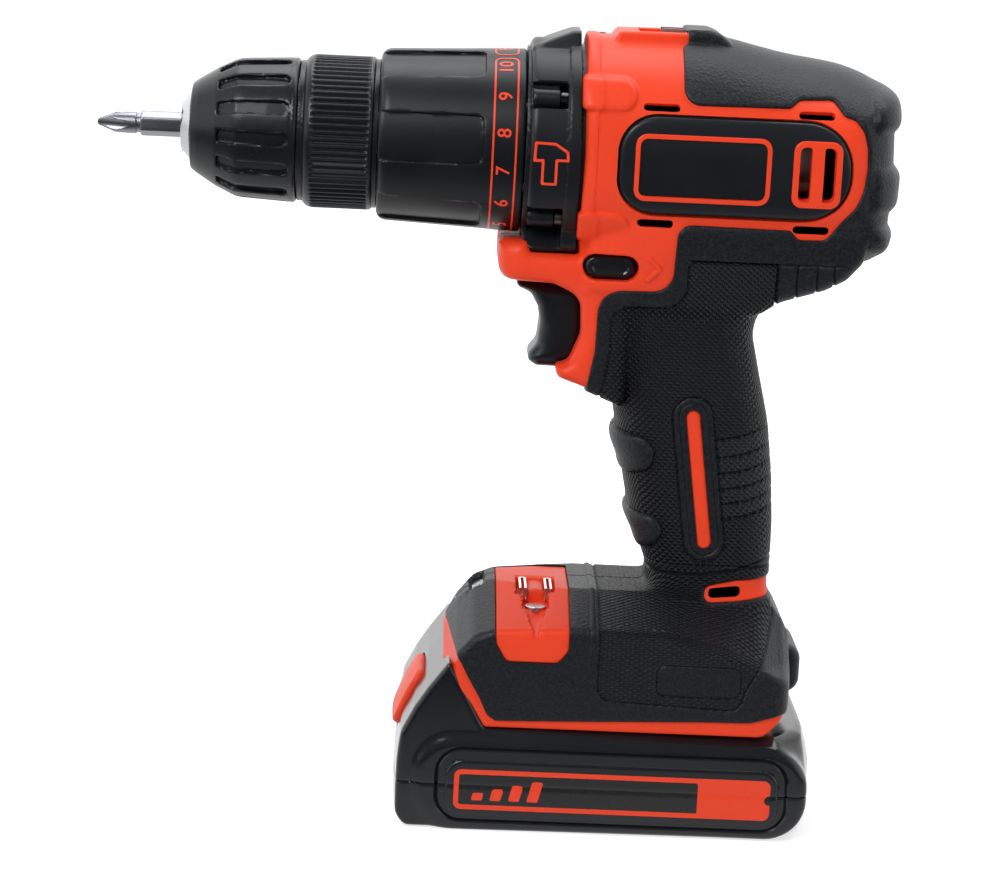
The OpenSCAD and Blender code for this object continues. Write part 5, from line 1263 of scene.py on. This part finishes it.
def gear_field(p):
    """The gear housing: a drum with a block under it, a ridge on top and four screw pockets."""
    x, r, _ = polar(p)
    y, w = np.abs(p[:, 1]), p[:, 2] - AXIS
    theta = np.arctan2(w, y)
    value = smax(r - GEAR_R, -31.4 - x, 2.0)
    block = box2(y, w + 20, 18.7, 9.2, 4.5)
    block = smax(block, -31.6 - x, 3.5)
    value = smin(value, block, 1.2)
    value = smin(value, smax(GEAR_TOP(x, w), y - 9.6 - 0.35 * (31 - w), 1.5), 0.8)
    value = smin(value, smax(smax(r - 29.6, np.abs(x + 19.1) - 1.8, 0.3), -25.5 - w, 0.5), 0.3)
    for angle, half, boss_r, floor_r in POCKETS:
        angle = math.radians(angle)
        arc = (theta - angle) * r
        deep = np.where(x > -23.6, 23.2, floor_r)
        pocket = smax(smax(np.abs(arc) - half, x + 21.4, 0.8), deep - r, 0.4)
        value = smax(value, -pocket, 0.4)
        centre_y, centre_w = SCREWS_R * math.cos(angle), SCREWS_R * math.sin(angle)
        boss = smax(np.hypot(y - centre_y, w - centre_w) - boss_r, x + 23.6, 0.4)
        value = np.minimum(value, smax(boss, -30.9 - x, 0.5))
    value = smax(value, x + 17.4 + 0.018 * w, 0.2)
    value = np.minimum(value, np.maximum(r - 27.6, np.abs(x + 16.5) - 3.0))
    value = np.minimum(value, smax(r - 16, np.maximum(x + 30, -66 - x), 0.4))
    value = np.minimum(value, np.maximum(r - 20.9, np.maximum(x + 29, -35.5 - x)))
    value = np.minimum(value, np.maximum(r - 26.6, np.abs(x + 31.6) - 0.75))
    bore = np.minimum(np.maximum(r - 22.6, -28.6 - x), r - 9.2)
    return smax(value, -bore, 0.3)


def gear_screws_field(p):
    """The screws' heads in those pockets."""
    y, w = np.abs(p[:, 1]), p[:, 2] - AXIS
    value = np.full(len(p), 99.0)
    for angle, *_ in POCKETS:
        angle, circle = math.radians(angle), SCREWS_R - 0.1
        r = np.hypot(y - circle * math.cos(angle), w - circle * math.sin(angle))
        head = smax(r - 2.3, np.abs(p[:, 0] + 22.3) - 1.1, 0.3)
        value = np.minimum(value, head)
    return value


def gear_housing():
    """The gear housing with the hammer sign, and its screws."""
    piece, sk = solid("gear_housing", gear_field, (-68, -31, AXIS - 31.5), (-12, 31, AXIS + 34),
                      M["black_plastic"], "root", 0.55)
    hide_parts("gearcase")
    place = lambda p: (p[:, 0] + 100 * (polar(p)[1] < 24), GEAR_R * polar(p)[2])
    print_sign("hammer_sign", sk, gear_field, place, [HAMMER], 0.36, "root")
    piece, _ = solid("gear_screws", gear_screws_field, (-26, -24, AXIS - 24), (-18, 24, AXIS + 18),
                     M["dark_steel"], "root", 0.3)
    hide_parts("gearcase_screws")


# trigger and direction selector

TRIGGER_SIDE = Outline([
    (-33.0, 152.0, 0.6), (-31.9, 150.4, 1), (-28.4, 148.9, 3), (-26.2, 145, 4), (-25.5, 141, 5),
    (-26.1, 134.8, 3), (-28.3, 132, 1.5), (-28.4, 129.7, 1.6), (-26, 128.2, 2), (-12.6, 128, 0),
    (-12.6, 152, 0)])


def trigger_field(p):
    """The trigger: a bent face with round flanks."""
    y = np.abs(p[:, 1])
    return smax(TRIGGER_SIDE(p[:, 0], p[:, 2]), y - 9.9, 5.0)


def selector_field(p):
    """The direction selector: a pin with round ends and a dish in both."""
    u, y, w = upper(p)
    s = stadium(u - SELECTOR[0], w - SELECTOR[1], SELECTOR[2] - 0.5, SELECTOR[3] - 0.5)
    value = smax(s, y - 19.4, 1.6)
    dish = np.hypot(np.maximum(np.abs(u - SELECTOR[0]) - 3, 0), w - SELECTOR[1]) - 1.9
    return smax(value, -smax(dish, 18.9 - y, 0.8), 0.8)


def controls():
    """The trigger and the direction selector."""
    piece, _ = solid("trigger_lever", trigger_field, (-35, -11, 126.5), (-11, 11, 153.5),
                     M["black_satin"], "trigger", 0.5)
    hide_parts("trigger")
    u, w = SELECTOR[:2]
    piece, _ = solid("selector_button", selector_field, (FRONT + u - 8, -21, AXIS + w - 5),
                     (FRONT + u + 8, 21, AXIS + w + 5), M["gloss_black"], "selector", 0.45)
    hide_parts("direction_selector")


# battery pack

SEAM = 13.5  # height of the joint between the pack's halves
PACK_HALF = 36.4
PACK_INNER = 34.5
PILL_SIDE = Outline([(-55.6, 0.4, 11.3), (55.2, 0.4, 11.3), (55.2, 27, 11.5), (-55.6, 27, 11.5)])
PACK_SIDE = Outline([
    (-52.25, 0.4, 3), (56.85, 0.4, 3), (59.05, 7.5, 3), (58.65, 18.6, 2), (56.85, 24, 3), (54.5, 29.7, 1),
    (-36.1, 29.7, 2), (-44.4, 44.6, 1), (-46.9, 48.4, 0.6), (-52.6, 40.6, 0), (-56.2, 34.9, 8),
    (-59.9, 27.4, 10), (-61.5, 19.0, 10), (-61.9, 11.7, 6), (-61.35, 4.4, 4), (-57.75, 0.4, 3)])
PACK_PLAN = Outline([
    (-61.95, -14, 16), (-60.6, -35.2, 2), (46.25, -35.2, 6), (55.25, -26, 6), (59.25, -14, 4),
    (59.25, 14, 4), (55.25, 26, 6), (46.25, 35.2, 6), (-60.6, 35.2, 2), (-61.95, 14, 16)])
RAIL_X, RAIL_Z = 2, 36.9  # middle of the slide-on head, and its lower face
BUTTON_AT, BUTTON_TILT = (-58.0, 30.8), math.radians(25.5)
BUTTON_HALF = (8.6, 12)  # up the slope and across it


def on_button(p):
    """Coordinates of the release button: up the slope, across it and out of it."""
    a, b = turned_by(p[:, 0] - BUTTON_AT[0], p[:, 2] - BUTTON_AT[1], -BUTTON_TILT)
    return b, p[:, 1], -a


def pill_field(p):
    """The block that holds the cells, round at its ends, with the label on its flank."""
    return smax(PILL_SIDE(p[:, 0], p[:, 2]), np.abs(p[:, 1]) - PACK_HALF, 3.0)


def pack_field(p, upper_half):
    """A half of the pack: its shoulder, the slide-on head with slots, and the button's well."""
    x, y, z = p[:, 0], np.abs(p[:, 1]), p[:, 2]
    body = smax(PACK_SIDE(x, z), PACK_PLAN(x, y), np.interp(x, [-40, 30], [1.8, 6]))
    value = smin(pill_field(p), body, 2.0)
    room = np.maximum(PILL_SIDE(x, z) + 2.2, y - PACK_INNER)
    if not upper_half:
        return smax(smax(value, z - SEAM, 0.5), -room, 0.2)
    value = smax(value, SEAM - z, 0.5)
    along = np.abs(x - RAIL_X) - 35
    stem = np.maximum(np.maximum(along, y - 17.6), np.maximum(z - RAIL_Z, 27 - z))
    head = np.maximum(np.maximum(along, y - 23), np.maximum(z - 41.6, RAIL_Z - z))
    value = np.minimum(value, np.minimum(stem, head))
    for at in (-10, 0, 10):  # the contacts' slots
        slot = np.maximum(np.maximum(np.abs(p[:, 1] - at) - 1.2, np.abs(x - RAIL_X) - 12), 36 - z)
        value = smax(value, -slot, 0.1)
    up, across, out = on_button(p)
    well = np.maximum(box2(up, across, BUTTON_HALF[0] + 0.4, BUTTON_HALF[1] + 0.4, 3.6), -5.8 - out)
    value = smax(value, -well, 0.5)
    return smax(value, -room, 0.2)


def button_field(p):
    """The release button, crowned, with three grip lines."""
    up, across, out = on_button(p)
    value = box2(up, across, *BUTTON_HALF, 3.4)
    crown = out - 1.9 + 0.0025 * across ** 2 + 0.008 * (up - 1) ** 2
    value = smax(value, np.maximum(crown, -2.8 - out), 1.2)
    for k in (-3.4, 0, 3.4):
        value = smax(value, -(np.hypot(up - k, out - 2.4) - 0.75), 0.3)
    return value


FACE_RIM = Outline([(-49.2, 3.1, 7.2), (49.2, 3.1, 7.2), (49.2, 23.9, 7.2), (-49.2, 23.9, 7.2)])
FACE_PANEL = Outline([(-46.6, 4.6, 5), (46.8, 4.6, 5), (46.8, 20.8, 5), (-46.6, 20.8, 5)])
LABEL = Outline([(-44.2, 6.6, 2), (44.6, 6.6, 2), (44.6, 18.2, 2), (-44.2, 18.2, 2)], margin=30)
LABEL_MID, LABEL_END, LABEL_BLOCK = 12.4, 44.2, 24.2  # middle height, end, start of the solid block
LABEL_LINE = 0.7  # half the width of the label's frame
BAR_START, BAR_PITCH, BAR_FOOT = -37, 5.2, 9.3


def on_flank(p, depth):
    """Negative on the pack's flanks, outside y = depth."""
    return depth - np.abs(p[:, 1])


def label_art(p):
    """Negative on the orange print: the frame, the block at its end and four growing bars."""
    x, z = p[:, 0], p[:, 2]
    frame_line = np.abs(LABEL(x, z) + LABEL_LINE) - LABEL_LINE
    block = np.maximum(LABEL(x, z), LABEL_BLOCK - x)
    bite = 1.25 - np.hypot(x - LABEL_END, z - LABEL_MID)
    art = np.maximum(np.minimum(frame_line, block), bite)
    for k in range(4):
        height = 1.1 + 0.62 * k
        lean = (z - LABEL_MID) * 0.25
        bar = box2(x - BAR_START - BAR_PITCH * k - lean, z - BAR_FOOT - height, 1.55, height, 0.35)
        art = np.minimum(art, bar)
    return np.maximum(art, on_flank(p, 30))


def label_ground(p):
    """Negative on the label's black ground."""
    return np.maximum(LABEL(p[:, 0], p[:, 2]) - 0.05, on_flank(p, 30))


def battery():
    """The pack's two halves with their label, and the release button."""
    face = lambda shape: only(xz_view(shape), lambda p: on_flank(p, 33))
    marks = [groove(face(FACE_RIM), 0.6, 0.6), raised(face(FACE_PANEL), 0.5, 0.9)]
    for half, upper_half, low, high in (("upper", True, 12.6, 60), ("lower", False, -1.3, 14.4)):
        name = f"pack_case_{half}"
        field = lambda p, upper_half=upper_half: pack_field(p, upper_half)
        piece, sk = solid(name, field, (-64, -39, low), (62, 39, high), M["gloss_black"],
                          "battery", STEP, marks)
        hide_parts(f"battery_{half}")
        guides = [Mark(face(lambda a, b: LABEL(a, b) + LABEL_LINE), (-LABEL_LINE, 0, LABEL_LINE), None)]
        ground = patch(sk, label_ground, pill_field, 0.05, 0.4)
        make(f"{name}_label", ground, M["label_black"], "battery")
        art = patch(sk, label_art, pill_field, 0.1, 0.4, guides)
        make(f"{name}_print", art, M["orange_print"], "battery")
    piece, _ = solid("pack_release", button_field, (-67, -14, 20), (-49, 14, 43), M["orange"],
                     "release", 0.5)
    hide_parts("release_button")


# springs and magnet


def steel_parts():
    """The bit holder's two springs and its magnet."""
    def prong(p, at):
        """A hairpin of spring steel that lies along one side of the bit's place and hooks down at its end."""
        x, y, z = np.abs(p[:, 0] - at), p[:, 1] + 8.6, p[:, 2] - 65.3
        flat = np.abs(np.hypot(x, np.maximum(y - 5.2, 0)) - 0.75) - 0.34
        flat = smax(smax(flat, np.abs(z) - 0.5, 0.2), -6.4 - y, 0.2)
        hook = smax(smax(np.abs(x - 0.75) - 0.34, np.abs(y + 6.1) - 0.45, 0.2), np.abs(z + 1.6) - 2, 0.2)
        return np.minimum(flat, hook)

    mid = BIT_X
    field = lambda p: np.minimum(prong(p, mid - 3.6), prong(p, mid + 3.6))
    piece, _ = solid("bit_springs", field, (mid - 6, -17, 61), (mid + 6, 0, 67), M["chrome"],
                     "root", 0.24)
    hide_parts("bit_clip")
    disc = lambda p: smax(np.hypot(p[:, 0] - mid, p[:, 1] + 19.6) - 3.0, np.abs(p[:, 2] - 61.0) - 0.9, 0.3)
    solid("bit_magnet", disc, (mid - 5, -24, 59), (mid + 5, -15, 63), M["steel"], "root", 0.3)


dial()
chuck()
gear_housing()
controls()
battery()
steel_parts()


# ---------------------------------------------------------------- floor, light and camera


def floor():
    """A pale floor that looks white to the camera and keeps the object's shadow."""
    mesh = bpy.data.meshes.new("floor")
    size, level = 3.0, 0.0
    mesh.from_pydata([(-size, -size, level), (size, -size, level), (size, size, level), (-size, size, level)],
                     [], [(0, 1, 2, 3)])
    n = Nodes("pale floor", Roughness=0.9)
    n.color(n.mix(n.noise(4, 2), rgb(0.8, 0.8, 0.8), rgb(0.83, 0.83, 0.83)))
    n.shader.inputs["Specular IOR Level"].default_value = 0.1
    path = n.add("ShaderNodeLightPath")
    mirrored = path.outputs["Is Glossy Ray"]
    seen = n.sum(path.outputs["Is Camera Ray"], mirrored, "ADD", True)
    spread = n.add("ShaderNodeVectorMath", {0: n.place}, operation="LENGTH").outputs["Value"]
    depth = n.add("ShaderNodeSeparateXYZ", {0: n.place}).outputs["Y"]
    glow = n.span(spread, 0.1, 0.5, 0.66, 1.0)
    white = n.add("ShaderNodeEmission", {"Color": rgb(1, 1, 1), "Strength": glow})
    glow = n.span(depth, -0.2, 0.02, 0.1, 1.1)
    room = n.add("ShaderNodeEmission", {"Color": rgb(1, 1, 1), "Strength": glow})
    lit = n.add("ShaderNodeAddShader", {0: n.shader.outputs[0], 1: white.outputs[0]})
    shown = n.add("ShaderNodeMixShader", {0: mirrored, 1: lit.outputs[0], 2: room.outputs[0]})
    pick = n.add("ShaderNodeMixShader", {0: seen, 1: n.shader.outputs[0], 2: shown.outputs[0]})
    n.tree.links.new(pick.outputs[0], n.tree.nodes["Material Output"].inputs["Surface"])
    mesh.materials.append(n.mat)
    obj = bpy.data.objects.new("floor", mesh)
    bpy.context.scene.collection.objects.link(obj)


FILL_WORLD = 0.16  # strength of the world's soft light
ROOM_DARK, ROOM_LIGHT = 0.2, 1.5  # what reflections see in front of the object and behind it


def world():
    """White to the camera. Reflections see a white backdrop behind the object and a dark room in front."""
    w = bpy.data.worlds.new("studio")
    bpy.context.scene.world = w
    w.use_nodes = True
    tree = w.node_tree
    add = lambda kind, inputs=(), **fields: add_node(tree, kind, inputs, **fields).outputs
    ramp = lambda value, low, high: add("ShaderNodeMapRange", {
        "Value": value, "From Min": low, "From Max": high, "To Min": ROOM_DARK, "To Max": ROOM_LIGHT})[0]
    path = add("ShaderNodeLightPath")
    way = add("ShaderNodeSeparateXYZ", {0: add("ShaderNodeTexCoord")["Generated"]})
    behind = ramp(way["Y"], -0.15, 0.45)
    beside = ramp(add("ShaderNodeMath", {0: way["X"]}, operation="ABSOLUTE")[0], 0.55, 0.9)
    room = add("ShaderNodeMath", {0: behind, 1: beside}, operation="MAXIMUM")[0]
    clear = add("ShaderNodeMath", {0: path["Is Camera Ray"], 1: path["Is Transmission Ray"]},
                operation="ADD", use_clamp=True)[0]
    seen = add("ShaderNodeMix", {0: path["Is Glossy Ray"], 2: FILL_WORLD, 3: room})[0]
    level = add("ShaderNodeMix", {0: clear, 2: seen, 3: 1.0})[0]
    back = tree.nodes["Background"]
    back.inputs["Color"].default_value = rgb(1, 1, 1)
    tree.links.new(level, back.inputs["Strength"])


def lamp(name, place, aim, size, power, mirrored=True):
    """A soft area light. Where mirrored is False, reflections don't show it."""
    data = bpy.data.lights.new(name, "AREA")
    data.shape, data.size, data.size_y = "RECTANGLE", size[0], size[1]
    data.energy = power
    obj = bpy.data.objects.new(name, data)
    bpy.context.scene.collection.objects.link(obj)
    obj.visible_glossy = mirrored
    obj.location = place
    obj.rotation_mode = "QUATERNION"
    obj.rotation_quaternion = (Vector(aim) - Vector(place)).to_track_quat("-Z", "Y")
    return obj


def camera():
    """A long lens at the object's left, a little above it."""
    azimuth, elevation, roll = math.radians(-1.5), math.radians(11.1), math.radians(-2.75)
    aim = Vector((-0.035, 0, 0.1065))
    back = Vector((math.sin(azimuth) * math.cos(elevation), -math.cos(azimuth) * math.cos(elevation),
                   math.sin(elevation)))
    right = Vector((math.cos(azimuth), math.sin(azimuth), 0))
    up = back.cross(right)
    x = right * math.cos(roll) - up * math.sin(roll)
    y = right * math.sin(roll) + up * math.cos(roll)
    data = bpy.data.cameras.new("camera")
    data.sensor_width, data.lens = 36, 113.4
    data.clip_start, data.clip_end = 0.05, 50
    obj = bpy.data.objects.new("camera", data)
    bpy.context.scene.collection.objects.link(obj)
    place = Matrix((x, y, back)).transposed().to_4x4()
    place.translation = aim + back * 0.9
    obj.matrix_world = place
    bpy.context.scene.camera = obj


floor()
world()
lamp("key", (-0.75, -1.15, 1.15), (0, 0, 0.11), (0.8, 0.7), 16)
lamp("fill", (1.3, -0.9, 0.4), (0, 0, 0.1), (0.7, 1.1), 4, False)
lamp("top", (0.1, 0.25, 1.4), (0, 0, 0.1), (1.6, 0.7), 11)
camera()
bpy.context.scene.view_settings.view_transform = "Standard"
